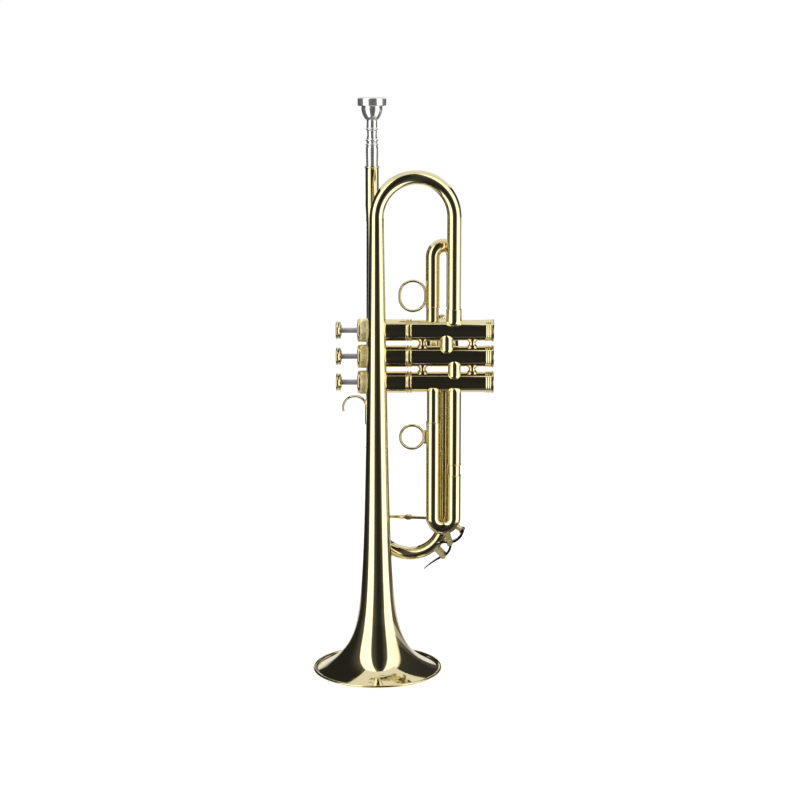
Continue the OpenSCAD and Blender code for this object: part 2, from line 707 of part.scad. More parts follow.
module piston(k) {
    body_r = piston_d / 2 - piston_wall;
    slot_x = ledge_x - guide_t - stroke - 0.5;
    color(STEEL) at_valve(k) {
        difference() {
            rod_x(piston_d, piston_top_x, piston_end_x);
            difference() {
                rod_x(2 * body_r, piston_top_x + 1.2, piston_end_x - 1.2);
                for (w = passages(k)) passage(w[0], w[1], port_d + 0.8);
            }
            rod_x(vent_d, piston_top_x - 1, piston_top_x + 2);
            rod_x(vent_d, piston_end_x - 2, piston_end_x + 1);
            for (w = passages(k)) passage(w[0], w[1], port_d);
        }
        difference() {
            tube_x(spring_box_d, spring_box_bore, spring_box_x, piston_top_x);
            for (s = [-1, 1]) translate([slot_x, -guide_lug_w / 2 - guide_gap, s * 12 - 6])
                cube([ledge_x + 0.4 - slot_x, guide_lug_w + 2 * guide_gap, 12]);
        }
        tube_x(spring_box_d, stem_d, spring_box_x, spring_box_x + spring_box_plate);
    }
}

module stem(k) {
    color(STEEL) at_valve(k) {
        rod_x(stem_d, stem_top_x, spring_box_x + spring_box_plate);
        rod_x(stem_d + 2.4, spring_box_x + spring_box_plate, spring_box_x + spring_box_plate + 1);
    }
}

module button(k) {
    r = button_d / 2;
    x0 = button_x - button_t;
    color(BRASS) at_valve(k) turned_x(concat(
        [[0, stem_top_x - step], [0, x0 + 1.6], [pearl_d / 2, x0 + 1.6], [pearl_d / 2, x0 + 0.4]],
        arc([r - 1.1, x0 + 1.1], 1.1, -100, 30, 6), [[r - 0.8, x0 + 2.6]],
        arc([r - 1.3, x0 + 3.9], 1.1, -40, 80, 6),
        [[r - 3, button_x - 0.4], [r - 3.6, button_x], [stem_d / 2 + step, button_x],
         [stem_d / 2 + step, stem_top_x - step]]
    ));
}

module pearl(k) {
    r = pearl_d / 2 - 0.05;
    x0 = button_x - button_t;
    color(PEARL) at_valve(k) turned_x([
        [0, x0 + 1.6], [r, x0 + 1.6], [r, x0 + 0.4], [r - 0.8, x0], [r * 0.6, x0 - 0.3], [0, x0 - 0.4]
    ]);
}

module stem_felt(k) {
    color(FELT) at_valve(k) tube_x(spring_box_d - 0.6, stem_d + 0.2, spring_box_x - felt_t, spring_box_x);
}

module cap_felts() {
    for (k = [0:2]) {
        color(FELT) at_valve(k)
            tube_x(cap_felt_d - 0.1, stem_hole_d - 0.6, cap_top_x - 0.5, cap_top_x + cap_felt_t);
    }
}

module valve_guides() {
    for (k = [0:2]) {
        color(NYLON) at_valve(k) difference() {
            intersection() {
                rod_x(barrel_bore - 0.1, ledge_x - guide_t, ledge_x);
                union() {
                    rod_x(spring_box_bore - 0.3, ledge_x - guide_t - 1, ledge_x + 1);
                    translate([ledge_x - guide_t - 1, -guide_lug_w / 2, -12])
                        cube([guide_t + 2, guide_lug_w, 24]);
                }
            }
            rod_x(stem_d, ledge_x - guide_t - 1, ledge_x + 1);
        }
    }
}

// Coil spring about X as a swept wire: c is its mean radius, w the wire's diameter
module coil(c, w, x0, x1, turns, sides = 6, per_turn = 14) {
    n = turns * per_turn;
    points = [for (i = [0:n]) for (j = [0:sides - 1])
        let (a = 360 * i / per_turn, b = 360 * j / sides, r = c + w / 2 * cos(b))
            [x0 + (x1 - x0) * i / n + w / 2 * sin(b), r * cos(a), r * sin(a)]];
    ends = [[for (j = [0:sides - 1]) j], [for (j = [sides - 1:-1:0]) n * sides + j]];
    walls = [for (i = [0:n - 1]) for (j = [0:sides - 1]) let (k = (j + 1) % sides)
        [i * sides + j, (i + 1) * sides + j, (i + 1) * sides + k, i * sides + k]];
    polyhedron(points = points, faces = concat(ends, walls), convexity = 8);
}

module valve_spring(k) {
    lo = spring_box_x + spring_box_plate + spring_wire_d / 2 + step;
    hi = ledge_x - guide_t - spring_wire_d / 2 - step;
    color(STEEL) at_valve(k) coil(spring_d / 2 - spring_wire_d / 2, spring_wire_d, lo, hi, spring_turns);
}

// Waisted spacers that hold the casings apart
module casing_spacers() {
    for (k = [0:1], x = [42.7, 89.7]) {
        mid = (valve_z[k] + valve_z[k + 1]) / 2;
        half = valve_pitch / 2 - 5;
        color(BRASS) difference() {
            translate([x, valve_y, mid]) rotate_extrude() polygon([
                [0, -half], [5.5, -half], [4.9, -2.6], [3.2, -0.8],
                [3.2, 0.8], [4.9, 2.6], [5.5, half], [0, half]
            ]);
            for (v = [k, k + 1]) at_valve(v) rod_x(casing_d, x - 8, x + 8);
        }
    }
}

// Short air ways between neighbouring casings
module knuckles() {
    for (k = [0:1]) {
        p = [k == 0 ? knuckle_a_x : knuckle_b_x, knuckle_y];
        color(BRASS) difference() {
            union() {
                end_rod(k, p, false, knuckle_d, knuckle_d, valve_pitch / 2);
                end_rod(k + 1, p, true, knuckle_d, knuckle_d, valve_pitch / 2);
            }
            end_rod(k, p, false, slide_bore - 0.4, knuckle_d, valve_pitch / 2 + step);
            end_rod(k + 1, p, true, slide_bore - 0.4, knuckle_d, valve_pitch / 2 + step);
            for (v = [k, k + 1]) at_valve(v) rod_x(casing_d, p.x - knuckle_d, p.x + knuckle_d);
        }
    }
}

// ---------------------------------------------------------------- first slide

module first_slide_tubes() {
    for (p = [first_a, first_b]) color(BRASS)
        end_tube(0, p, true, inner_d, slide_bore, first_arc_z - 6 - valve_z[0]);
}

module first_slide() {
    color(BRASS) in_legs(first_a, first_b) {
        for (x = [-first_r, first_r]) difference() {
            union() {
                rod_z([x, 0], outer_d, first_joint_z, first_arc_z);
                end_bead([x, 0], outer_d - 0.4, first_joint_z + bead_t);
            }
            rod_z([x, 0], outer_bore, first_joint_z - 1, first_arc_z - 5);
            rod_z([x, 0], slide_bore, first_joint_z - 1, first_arc_z + 1);
        }
        bow(first_r, first_arc_z + joint_gap, true, outer_d, slide_bore);
    }
}

module first_ring() {
    w = first_ring_w / 2;
    h = first_ring_h / 2;
    c = [first_a_x - outer_d / 2 - w + 1.3, first_joint_z + 11];
    color(BRASS) difference() {
        translate([c.x, first_a.y, c.y]) rotate([90, 0, 0]) translate([0, 0, -ring_w / 2])
            linear_extrude(ring_w) difference() {
                union() {
                    for (s = [-1, 1]) translate([0, s * (h - w)]) circle(r = w);
                    translate([-w, -(h - w)]) square([2 * w, 2 * (h - w)]);
                    translate([w - 3, -8]) square([4, 16]);
                }
                for (s = [-1, 1]) translate([0, s * (h - w)]) circle(r = w - ring_band);
                translate([-w + ring_band, -(h - w)]) square([2 * (w - ring_band), 2 * (h - w)]);
            }
        rod_z(first_a, outer_d, first_joint_z - 20, first_joint_z + 60);
    }
}

// ---------------------------------------------------------------- second slide

// Frame at x on the second valve's axis, with Z along the second slide
module second_frame(x) {
    translate([x, valve_y, valve_z[1]]) rotate([second_tilt - 90, 0, 0]) children();
}

module second_slide_tubes() {
    color(BRASS) for (x = [second_a_x, second_b_x]) difference() {
        second_frame(x) {
            cylinder(h = second_tube_len, d = outer_d);
            translate([0, 0, second_tube_len - 2.5]) cylinder(h = 2.5, d = outer_d + 2 * ferrule_t);
        }
        second_frame(x) cylinder(h = second_tube_len + 1, d = outer_bore);
        at_valve(1) rod_x(casing_d, x - outer_d, x + outer_d);
    }
}

module second_slide() {
    color(BRASS) translate([second_r, 0, 0]) second_frame(second_a_x) {
        for (s = [-1, 1]) translate([s * second_r, 0, 0]) difference() {
            union() {
                translate([0, 0, 12]) cylinder(h = second_arc - 12, d = inner_d);
                translate([0, 0, second_tube_len + 1])
                    cylinder(h = second_arc - second_tube_len - 1, d = outer_d);
            }
            translate([0, 0, 11]) cylinder(h = second_arc, d = slide_bore);
        }
        translate([0, 0, second_arc]) rotate([90, 0, 0]) rotate_extrude(angle = 180)
            translate([second_r, 0]) difference() {
                circle(d = outer_d);
                circle(d = slide_bore);
            }
        // pull knob
        translate([0, 0, second_arc + second_r + outer_d / 2 - 0.3]) rotate_extrude() polygon([
            [0, 0], [2.2, 0], [1.5, 1.4], [1.5, 2.8], [3.2, 4.2], [3.4, 5.4], [2.6, 6.6], [0, 7]
        ]);
    }
}

// ---------------------------------------------------------------- third slide

module third_slide_tubes() {
    color(BRASS) {
        end_tube(2, third_a, false, inner_d, slide_bore, valve_z[2] - third_arc_z - 12);
        difference() {
            union() {
                end_tube(2, third_b, false, outer_d, outer_bore, valve_z[2] - third_joint_b_z);
                end_bead(third_b, outer_d, third_joint_b_z + bead_t);
            }
            rod_z(third_b, outer_bore, third_joint_b_z - 1, third_joint_b_z + 4);
        }
    }
}

module third_slide() {
    ferrule_z = third_joint_b_z - 9.5;
    color(BRASS) {
        difference() {
            union() {
                rod_z(third_a, outer_d, third_arc_z, third_joint_a_z);
                end_bead(third_a, outer_d, third_joint_a_z - bead_t);
            }
            rod_z(third_a, outer_bore, third_arc_z + 10, third_joint_a_z + 1);
            rod_z(third_a, slide_bore, third_arc_z - 1, third_joint_a_z);
        }
        difference() {
            union() {
                rod_z(third_b, inner_d, ferrule_z - 1, valve_z[2] - 22);
                rod_z(third_b, outer_d, third_arc_z, ferrule_z);
                end_bead(third_b, outer_d - 0.4, ferrule_z - bead_t);
            }
            rod_z(third_b, slide_bore, third_arc_z - 1, valve_z[2]);
        }
        difference() {
            in_legs(third_a, third_b) bow(third_r, third_arc_z, false, outer_d, slide_bore);
            in_bow(third_mid, 0) drain(third_r, third_nipple_angle, outer_d);
        }
    }
}

module third_ring() {
    r = third_ring_d / 2;
    c = [third_a_x - outer_d / 2 - 0.9 - r, third_joint_a_z - 15];
    color(BRASS) difference() {
        translate([c.x, third_y, c.y]) rotate([90, 0, 0]) translate([0, 0, -ring_w / 2])
            linear_extrude(ring_w) difference() {
                union() {
                    circle(r = r);
                    translate([r - 2, -7]) square([5, 14]);
                }
                circle(r = r - ring_band);
            }
        rod_z(third_a, outer_d, c.y - 20, c.y + 20);
    }
}

// ---------------------------------------------------------------- water keys

// Plane of a bow: X across, Y up, Z towards the bell, with the arc's centre at the origin
module in_bow(mid, turn) {
    translate(mid) rotate([0, 0, turn]) rotate([90, 0, 0]) children();
}

// Hole through the bow's outer wall
module drain(r, a, d) {
    rotate([0, 0, a]) translate([r, 0, 0]) rotate([0, 90, 0]) cylinder(h = d, d = nipple_d - 2.6, $fn = 48);
}

function on_bow(r, a) = r * [cos(a), sin(a)];

// Drain nipple and the two posts that carry the pivot screw
module key_saddle(r, d, nipple_a, pivot_a) {
    out = r + d / 2;
    difference() {
        union() {
            rotate([0, 0, nipple_a]) translate([out - 1.5, 0, 0]) rotate([0, 90, 0])
                cylinder(h = nipple_rise + 1.5, d = nipple_d, $fn = 48);
            for (s = [-1, 1]) translate([0, 0, s * (key_posts + post_t / 2) - post_t / 2])
                rotate([0, 0, pivot_a]) linear_extrude(post_t) {
                    translate([out - 5, -2.4]) square([pivot_rise + 5, 4.8]);
                    translate([out + pivot_rise, 0]) circle(r = 2.4, $fn = 48);
                }
        }
        rotate([0, 0, nipple_a]) translate([out - 3, 0, 0]) rotate([0, 90, 0])
            cylinder(h = 12, d = nipple_d - 2.6, $fn = 48);
        translate([on_bow(out + pivot_rise, pivot_a).x, on_bow(out + pivot_rise, pivot_a).y, -12])
            cylinder(h = 24, d = key_screw_d, $fn = 48);
        bow_cut(r, d);
    }
}

// The bow itself, taken out of what is soldered to it
module bow_cut(r, d) {
    rotate([0, 0, 180]) rotate_extrude(angle = 180) translate([r, 0]) circle(d = d);
}

module key_cork(r, d, nipple_a) {
    rotate([0, 0, nipple_a]) translate([r + d / 2 + nipple_rise + 0.05, 0, 0]) rotate([0, 90, 0])
        cylinder(h = cork_t, d = cork_d, $fn = 48);
}

// Lever: cork cup, curved arm, barrel on the screw and finger arm
module key_lever(r, d, nipple_a, pivot_a, tip_len, tip_a) {
    out = r + d / 2;
    cup_base = out + nipple_rise + 0.05 + cork_t;
    pivot = on_bow(out + pivot_rise, pivot_a);
    arm = on_bow(cup_base + 0.6, nipple_a);
    bulge = on_bow(cup_base + 5.5, (nipple_a + pivot_a) / 2);
    tip = pivot + tip_len * [cos(tip_a), sin(tip_a)];
    sag = (pivot + tip) / 2 + 1.8 * [sin(tip_a), -cos(tip_a)];
    difference() {
        union() {
            translate([0, 0, -lever_w / 2]) linear_extrude(lever_w) {
                polygon(ribbon(arm, bulge, pivot, lever_t, lever_t));
                polygon(ribbon(pivot, sag, tip, lever_t, 0.8));
            }
            translate([pivot.x, pivot.y, -key_posts + key_gap])
                cylinder(h = key_posts - key_gap + lever_w / 2, d = barrel_out_d, $fn = 48);
            rotate([0, 0, nipple_a]) translate([cup_base - 1.4, 0, 0]) rotate([0, 90, 0])
                cylinder(h = 2.4, d = cork_d + 1.6, $fn = 48);
        }
        translate([pivot.x, pivot.y, -12]) cylinder(h = 24, d = key_screw_d + 0.1, $fn = 48);
        rotate([0, 0, nipple_a]) translate([cup_base - cork_t - 1, 0, 0]) rotate([0, 90, 0])
            cylinder(h = cork_t + 1, d = cork_d + 0.1, $fn = 48);
    }
}

module key_screw(r, d, pivot_a) {
    pivot = on_bow(r + d / 2 + pivot_rise, pivot_a);
    translate([pivot.x, pivot.y, 0]) {
        translate([0, 0, -key_posts - post_t])
            cylinder(h = 2 * (key_posts + post_t), d = key_screw_d, $fn = 48);
        difference() {
            translate([0, 0, key_posts + post_t]) cylinder(h = 1.3, d = 4.4, $fn = 48);
            translate([-3, -0.35, key_posts + post_t + 0.7]) cube([6, 0.7, 1]);
        }
    }
}

module key_spring(r, d, pivot_a) {
    pivot = on_bow(r + d / 2 + pivot_rise, pivot_a);
    translate([pivot.x, pivot.y, 0]) rotate([0, -90, 0])
        coil(1.75, 0.45, lever_w / 2 + 0.35, key_posts - 0.3, 3, 6, 14);
}

module tuning_key_saddle() {
    color(BRASS) in_bow(tuning_mid, tuning_turn)
        key_saddle(tuning_r, crook_d, tuning_nipple_angle, tuning_pivot_angle);
}

module tuning_key() {
    color(DARK) in_bow(tuning_mid, tuning_turn)
        key_lever(tuning_r, crook_d, tuning_nipple_angle, tuning_pivot_angle, tuning_lever_len, 216);
}

module tuning_key_cork() {
    color(CORK) in_bow(tuning_mid, tuning_turn) key_cork(tuning_r, crook_d, tuning_nipple_angle);
}

module tuning_key_screw() {
    color(BRASS) in_bow(tuning_mid, tuning_turn) key_screw(tuning_r, crook_d, tuning_pivot_angle);
}

module tuning_key_spring() {
    color(STEEL) in_bow(tuning_mid, tuning_turn) key_spring(tuning_r, crook_d, tuning_pivot_angle);
}

module third_key_saddle() {
    color(BRASS) in_bow(third_mid, 0) key_saddle(third_r, outer_d, third_nipple_angle, third_pivot_angle);
}

module third_key() {
    color(DARK) in_bow(third_mid, 0)
        key_lever(third_r, outer_d, third_nipple_angle, third_pivot_angle, third_lever_len, 188);
}

module third_key_cork() {
    color(CORK) in_bow(third_mid, 0) key_cork(third_r, outer_d, third_nipple_angle);
}

module third_key_screw() {
    color(BRASS) in_bow(third_mid, 0) key_screw(third_r, outer_d, third_pivot_angle);
}

module third_key_spring() {
    color(STEEL) in_bow(third_mid, 0) key_spring(third_r, outer_d, third_pivot_angle);
}

// ---------------------------------------------------------------- braces

module bell_braces() {
    for (z = [receiver_bottom_z + 2, tuning_joint_z + 9]) {
        pipe_d = z > sleeve_top_z ? lead_top_d + 0.7 : outer_d;
        far = [lead.x, lead.y, z];
        near = far * (bell_r(z) - 1) / norm([lead.x, lead.y]);
        a = [near.x, near.y, z];
        b = [lead.x, lead.y, z] - (pipe_d / 2 - 1) * [lead.x, lead.y, 0] / norm([lead.x, lead.y]);
        color(BRASS) difference() {
            pillar(a, b, 8, 3, 5.4, 2.6);
            bell_form();
            rod_z(lead, pipe_d, z - 8, z + 8);
        }
    }
}

module casing_braces() {
    // leadpipe to the first and third casings
    for (k = [0, 2]) {
        z = valve_z[k];
        pipe_d = lead_end_d;
        foot = [3, valve_y + barrel_d / 2 - 1, z];
        v = [foot.x - lead.x, foot.y - lead.y, 0];
        color(BRASS) difference() {
            pillar([lead.x, lead.y, z] + 4 * v / norm(v), foot, 6, 3, 4, 1);
            rod_z(lead, pipe_d, z - 6, z + 6);
            at_valve(k) rod_x(barrel_d, -10, 20);
        }
    }
}

bell();
rim_wire();
receiver();
leadpipe();
tuning_slide_tubes();
tuning_slide();
tuning_brace();
tuning_key_saddle();
tuning_key();
tuning_key_cork();
tuning_key_screw();
tuning_key_spring();
casing(0);  // casing_1
casing(1);  // casing_2
casing(2);  // casing_3
casing_spacers();
knuckles();
top_cap(0);  // top_cap_1
top_cap(1);  // top_cap_2
top_cap(2);  // top_cap_3
bottom_cap(0);  // bottom_cap_1
bottom_cap(1);  // bottom_cap_2
bottom_cap(2);  // bottom_cap_3
piston(0);  // piston_1
piston(1);  // piston_2
piston(2);  // piston_3
stem(0);  // stem_1
stem(1);  // stem_2
stem(2);  // stem_3
button(0);  // button_1
button(1);  // button_2
button(2);  // button_3
pearl(0);  // pearl_1
pearl(1);  // pearl_2
pearl(2);  // pearl_3
stem_felt(0);  // stem_felt_1
stem_felt(1);  // stem_felt_2
stem_felt(2);  // stem_felt_3
cap_felts();
valve_guides();
valve_spring(0);  // valve_spring_1
valve_spring(1);  // valve_spring_2
valve_spring(2);  // valve_spring_3
first_slide_tubes();
first_slide();
first_ring();
second_slide_tubes();
second_slide();
third_slide_tubes();
third_slide();
third_ring();
third_key_saddle();
third_key();
third_key_cork();
third_key_screw();
third_key_spring();
bell_braces();
casing_braces();
finger_hook();
mouthpiece();
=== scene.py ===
"""Looks of a three-valve trumpet that stands on its bell, in lacquered brass with a silver mouthpiece."""

import json
import logging
import math
from dataclasses import dataclass
from enum import Enum, IntEnum
from typing import Sequence

import bmesh
import bpy
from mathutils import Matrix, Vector


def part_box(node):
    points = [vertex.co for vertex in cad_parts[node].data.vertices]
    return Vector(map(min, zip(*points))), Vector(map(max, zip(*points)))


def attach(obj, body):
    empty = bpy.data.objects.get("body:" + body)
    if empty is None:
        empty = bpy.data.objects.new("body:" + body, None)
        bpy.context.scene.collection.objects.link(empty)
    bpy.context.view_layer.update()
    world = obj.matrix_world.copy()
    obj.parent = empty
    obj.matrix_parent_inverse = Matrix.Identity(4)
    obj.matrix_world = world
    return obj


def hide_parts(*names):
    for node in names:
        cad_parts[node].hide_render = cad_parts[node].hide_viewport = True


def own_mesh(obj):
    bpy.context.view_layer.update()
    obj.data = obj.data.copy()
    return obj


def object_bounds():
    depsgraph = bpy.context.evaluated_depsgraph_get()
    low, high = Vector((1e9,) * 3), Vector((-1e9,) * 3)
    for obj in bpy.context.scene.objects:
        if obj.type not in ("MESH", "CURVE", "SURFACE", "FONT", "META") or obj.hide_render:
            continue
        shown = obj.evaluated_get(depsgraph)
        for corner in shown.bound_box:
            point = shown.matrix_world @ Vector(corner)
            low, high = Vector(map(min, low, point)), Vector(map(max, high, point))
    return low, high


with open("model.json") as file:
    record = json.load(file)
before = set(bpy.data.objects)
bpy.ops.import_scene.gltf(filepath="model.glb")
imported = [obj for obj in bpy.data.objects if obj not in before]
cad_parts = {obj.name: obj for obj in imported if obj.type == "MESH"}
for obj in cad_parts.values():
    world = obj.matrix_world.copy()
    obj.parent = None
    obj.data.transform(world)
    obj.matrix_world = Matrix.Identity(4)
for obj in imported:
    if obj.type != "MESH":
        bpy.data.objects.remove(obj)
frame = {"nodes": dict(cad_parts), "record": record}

LOG = logging.getLogger("trumpet")
CAD_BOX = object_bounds()
MM = 0.001  # metres in a millimetre
WELD = 1e-6  # points nearer to each other than this, in metres, become one
CREASE = 38.0  # an edge that turns by more than this, in degrees, is sharp
RIDGE = (0.0, 0.5, 1.0, 0.5)  # share of its depth at each point round one ridge

Socket = bpy.types.NodeSocket
Colour = tuple[float, float, float]
Point = tuple[float, float, float]
Flat = tuple[float, float]
Ridged = tuple[float, float, float]  # radius, x, and the depth of the ridges there


class Slot(Enum):
    """The finishes by the names of the record's material slots."""

    LACQUERED_BRASS = "lacquered_brass"
    SLIDE_BRASS = "slide_brass"
    FITTING_BRASS = "fitting_brass"
    KEY_BRASS_PAINTED_DARK = "key_brass"
    PLATED_STEEL = "plated_steel"
    SILVER_PLATE = "silver_plate"
    SPRING_STEEL = "spring_steel"
    PEARL = "pearl"
    FELT = "felt"
    CORK = "cork"
    NYLON = "nylon"


class Body(Enum):
    """The bodies that new pieces ride on."""

    HORN = "horn"
    FIRST_SLIDE = "first_slide"
    THIRD_SLIDE = "third_slide"


# ------------------------------------------------------------------ materials


class NodeGraph:
    """A material's node tree with a Principled shader, and short ways to add to it."""

    def __init__(self, name: str) -> None:
        """Makes an empty material.

        Args:
            name: The material's name.
        """
        self.material = bpy.data.materials.new(name)
        self.material.use_nodes = True
        self.tree = self.material.node_tree
        self.tree.nodes.clear()
        output = self.add("ShaderNodeOutputMaterial")
        self.shader = self.add("ShaderNodeBsdfPrincipled")
        self.link(self.shader.outputs["BSDF"], output.inputs["Surface"])
        self.place = self.add("ShaderNodeTexCoord").outputs["Object"]

    def add(self, kind: str, **inputs: object) -> bpy.types.Node:
        """Adds a node and sets its inputs.

        Args:
            kind: The node's type.
            inputs: Values for its sockets, with spaces in names written as underscores.

        Returns:
            The node.
        """
        node = self.tree.nodes.new(kind)
        for name, value in inputs.items():
            node.inputs[name.replace("_", " ")].default_value = value
        return node

    def link(self, source: Socket, target: Socket) -> None:
        """Joins two sockets."""
        self.tree.links.new(source, target)

    def set(self, **values: object) -> None:
        """Sets constants on the Principled shader's own sockets."""
        for name, value in values.items():
            self.shader.inputs[name.replace("_", " ")].default_value = value

    def stretched(self, scale: Point) -> Socket:
        """The object's coordinates scaled by axis.

        Args:
            scale: Factor along X, Y and Z.

        Returns:
            The vector socket.
        """
        node = self.add("ShaderNodeMapping", Scale=scale)
        self.link(self.place, node.inputs["Vector"])
        return node.outputs["Vector"]

    def noise(self, scale: float, detail: float, stretch: Point | None = None) -> Socket:
        """Noise over the object.

        Args:
            scale: Cells for each metre.
            detail: Octaves.
            stretch: Factor along each axis before the noise.

        Returns:
            The noise's value socket.
        """
        node = self.add("ShaderNodeTexNoise", Scale=scale, Detail=detail, Roughness=0.55)
        self.link(self.stretched(stretch) if stretch else self.place, node.inputs["Vector"])
        return node.outputs["Fac"]

    def spread(self, value: Socket, low: float, high: float,
               to_low: float, to_high: float) -> Socket:
        """Maps one range of a value on another, clamped.

        Args:
            value: The value's socket.
            low: Start of its range.
            high: End of its range.
            to_low: What its start becomes.
            to_high: What its end becomes.

        Returns:
            The mapped value's socket.
        """
        node = self.add("ShaderNodeMapRange", From_Min=low, From_Max=high, To_Min=to_low, To_Max=to_high)
        self.link(value, node.inputs["Value"])
        return node.outputs["Result"]

    def ramp(self, value: Socket, stops: Sequence[tuple[float, Colour]]) -> Socket:
        """Turns a value into colours.

        Args:
            value: What drives the ramp.
            stops: Places from 0 to 1, each with its colour.

        Returns:
            The colour socket.
        """
        node = self.add("ShaderNodeValToRGB")
        self.link(value, node.inputs["Fac"])
        marks = node.color_ramp.elements
        while len(marks) < len(stops):
            marks.new(0.5)
        for mark, (place, colour) in zip(marks, stops):
            mark.position = place
            mark.color = (*colour, 1.0)
        return node.outputs["Color"]

    def bump(self, height: Socket, strength: float, distance: float,
             under: Socket | None = None) -> Socket:
        """Turns a height into a normal.

        Args:
            height: The height's socket.
            strength: From 0 to 1.
            distance: Height of the relief, in metres.
            under: A normal that this one adds to.

        Returns:
            The normal's socket.
        """
        node = self.add("ShaderNodeBump", Strength=strength, Distance=distance)
        self.link(height, node.inputs["Height"])
        if under:
            self.link(under, node.inputs["Normal"])
        return node.outputs["Normal"]


@dataclass(frozen=True)
class MetalFinish:
    """Polished or plated metal, with a slightly uneven lacquer and a few fine wipe marks."""

    name: str
    colour: Colour
    deep: Colour
    roughness: float = 0.05
    roughness_top: float = 0.11
    coat: float = 0.5
    peel: float = 0.03
    wipe: float = 0.02
    metal: float = 1.0

    def material(self) -> bpy.types.Material:
        """Builds the material.

        Returns:
            The material.
        """
        graph = NodeGraph(self.name)
        graph.set(Metallic=self.metal, Coat_Weight=self.coat, Coat_Roughness=0.03, Coat_IOR=1.5)
        clouds = graph.noise(scale=34, detail=4)
        tone = graph.ramp(clouds, [(0.32, self.deep), (0.62, self.colour)])
        graph.link(tone, graph.shader.inputs["Base Color"])
        smears = graph.noise(scale=160, detail=5)
        worn = graph.spread(smears, 0.35, 0.75, self.roughness, self.roughness_top)
        graph.link(worn, graph.shader.inputs["Roughness"])
        peel = graph.bump(graph.noise(scale=420, detail=2), self.peel, distance=0.0002)
        strokes = graph.noise(scale=900, detail=2, stretch=(1, 1, 0.04))
        wiped = graph.bump(strokes, self.wipe, distance=0.0001, under=peel)
        graph.link(wiped, graph.shader.inputs["Normal"])
        return graph.material


@dataclass(frozen=True)
class SoftFinish:
    """Felt, cork or moulded plastic: no metal, with grain in its colour and its surface."""

    name: str
    colour: Colour
    deep: Colour
    roughness: float
    grain: float
    relief: float
    sheen: float = 0.0

    def material(self) -> bpy.types.Material:
        """Builds the material.

        Returns:
            The material.
        """
        graph = NodeGraph(self.name)
        graph.set(Metallic=0.0, Roughness=self.roughness, Sheen_Weight=self.sheen)
        grain = graph.noise(self.grain, detail=5)
        tone = graph.ramp(grain, [(0.35, self.deep), (0.65, self.colour)])
        graph.link(tone, graph.shader.inputs["Base Color"])
        graph.link(graph.bump(grain, 0.6, self.relief), graph.shader.inputs["Normal"])
        return graph.material


@dataclass(frozen=True)
class PearlFinish:
    """Mother-of-pearl: pale, with drifting pink and green layers under a gloss."""

    name: str
    colours: tuple[Colour, Colour, Colour]

    def material(self) -> bpy.types.Material:
        """Builds the material.

        Returns:
            The material.
        """
        graph = NodeGraph(self.name)
        graph.set(Metallic=0.0, Roughness=0.16, Coat_Weight=0.8, Coat_Roughness=0.04)
        layers = graph.noise(scale=260, detail=3, stretch=(1.0, 0.5, 1.6))
        pale, rose, sea = self.colours
        stops = [(0.3, rose), (0.45, pale), (0.58, sea), (0.7, pale)]
        graph.link(graph.ramp(layers, stops), graph.shader.inputs["Base Color"])
        graph.link(graph.bump(layers, 0.15, distance=0.0001), graph.shader.inputs["Normal"])
        return graph.material


FINISHES = {
    Slot.LACQUERED_BRASS: MetalFinish("lacquered_brass", (0.87, 0.77, 0.46), (0.84, 0.73, 0.41)),
    Slot.SLIDE_BRASS: MetalFinish("slide_brass", (0.87, 0.77, 0.46), (0.84, 0.72, 0.4), roughness=0.06),
    Slot.FITTING_BRASS: MetalFinish("fitting_brass", (0.98, 0.87, 0.5), (0.9, 0.76, 0.36), roughness=0.24,
                                    roughness_top=0.4, metal=0.65),
    # Key levers: the near-black colour is painted shade, standing in for the dark surroundings that the
    # polished brass would reflect.
    Slot.KEY_BRASS_PAINTED_DARK: MetalFinish("key_brass", (0.2, 0.16, 0.13), (0.12, 0.1, 0.09), roughness=0.12),
    Slot.PLATED_STEEL: MetalFinish("plated_steel", (0.5, 0.5, 0.54), (0.42, 0.42, 0.46), roughness=0.3,
                                   roughness_top=0.4, coat=0.0, metal=0.5),
    Slot.SILVER_PLATE: MetalFinish("silver_plate", (0.9, 0.9, 0.9), (0.85, 0.85, 0.85), roughness=0.13,
                                   roughness_top=0.18, coat=0.0, metal=0.85),
    Slot.SPRING_STEEL: MetalFinish("spring_steel", (0.5, 0.5, 0.52), (0.42, 0.42, 0.44), roughness=0.2,
                                   roughness_top=0.35, coat=0.0),
    Slot.PEARL: PearlFinish("pearl", ((0.86, 0.84, 0.78), (0.82, 0.72, 0.7), (0.72, 0.8, 0.76))),
    Slot.FELT: SoftFinish("felt", (0.4, 0.06, 0.08), (0.26, 0.03, 0.05), roughness=0.95, grain=2600,
                          relief=0.0003, sheen=0.5),
    Slot.CORK: SoftFinish("cork", (0.62, 0.43, 0.25), (0.4, 0.24, 0.12), roughness=0.85, grain=1400,
                          relief=0.0002),
    Slot.NYLON: SoftFinish("nylon", (0.85, 0.84, 0.8), (0.82, 0.81, 0.77), roughness=0.4, grain=500,
                           relief=0.00005),
}


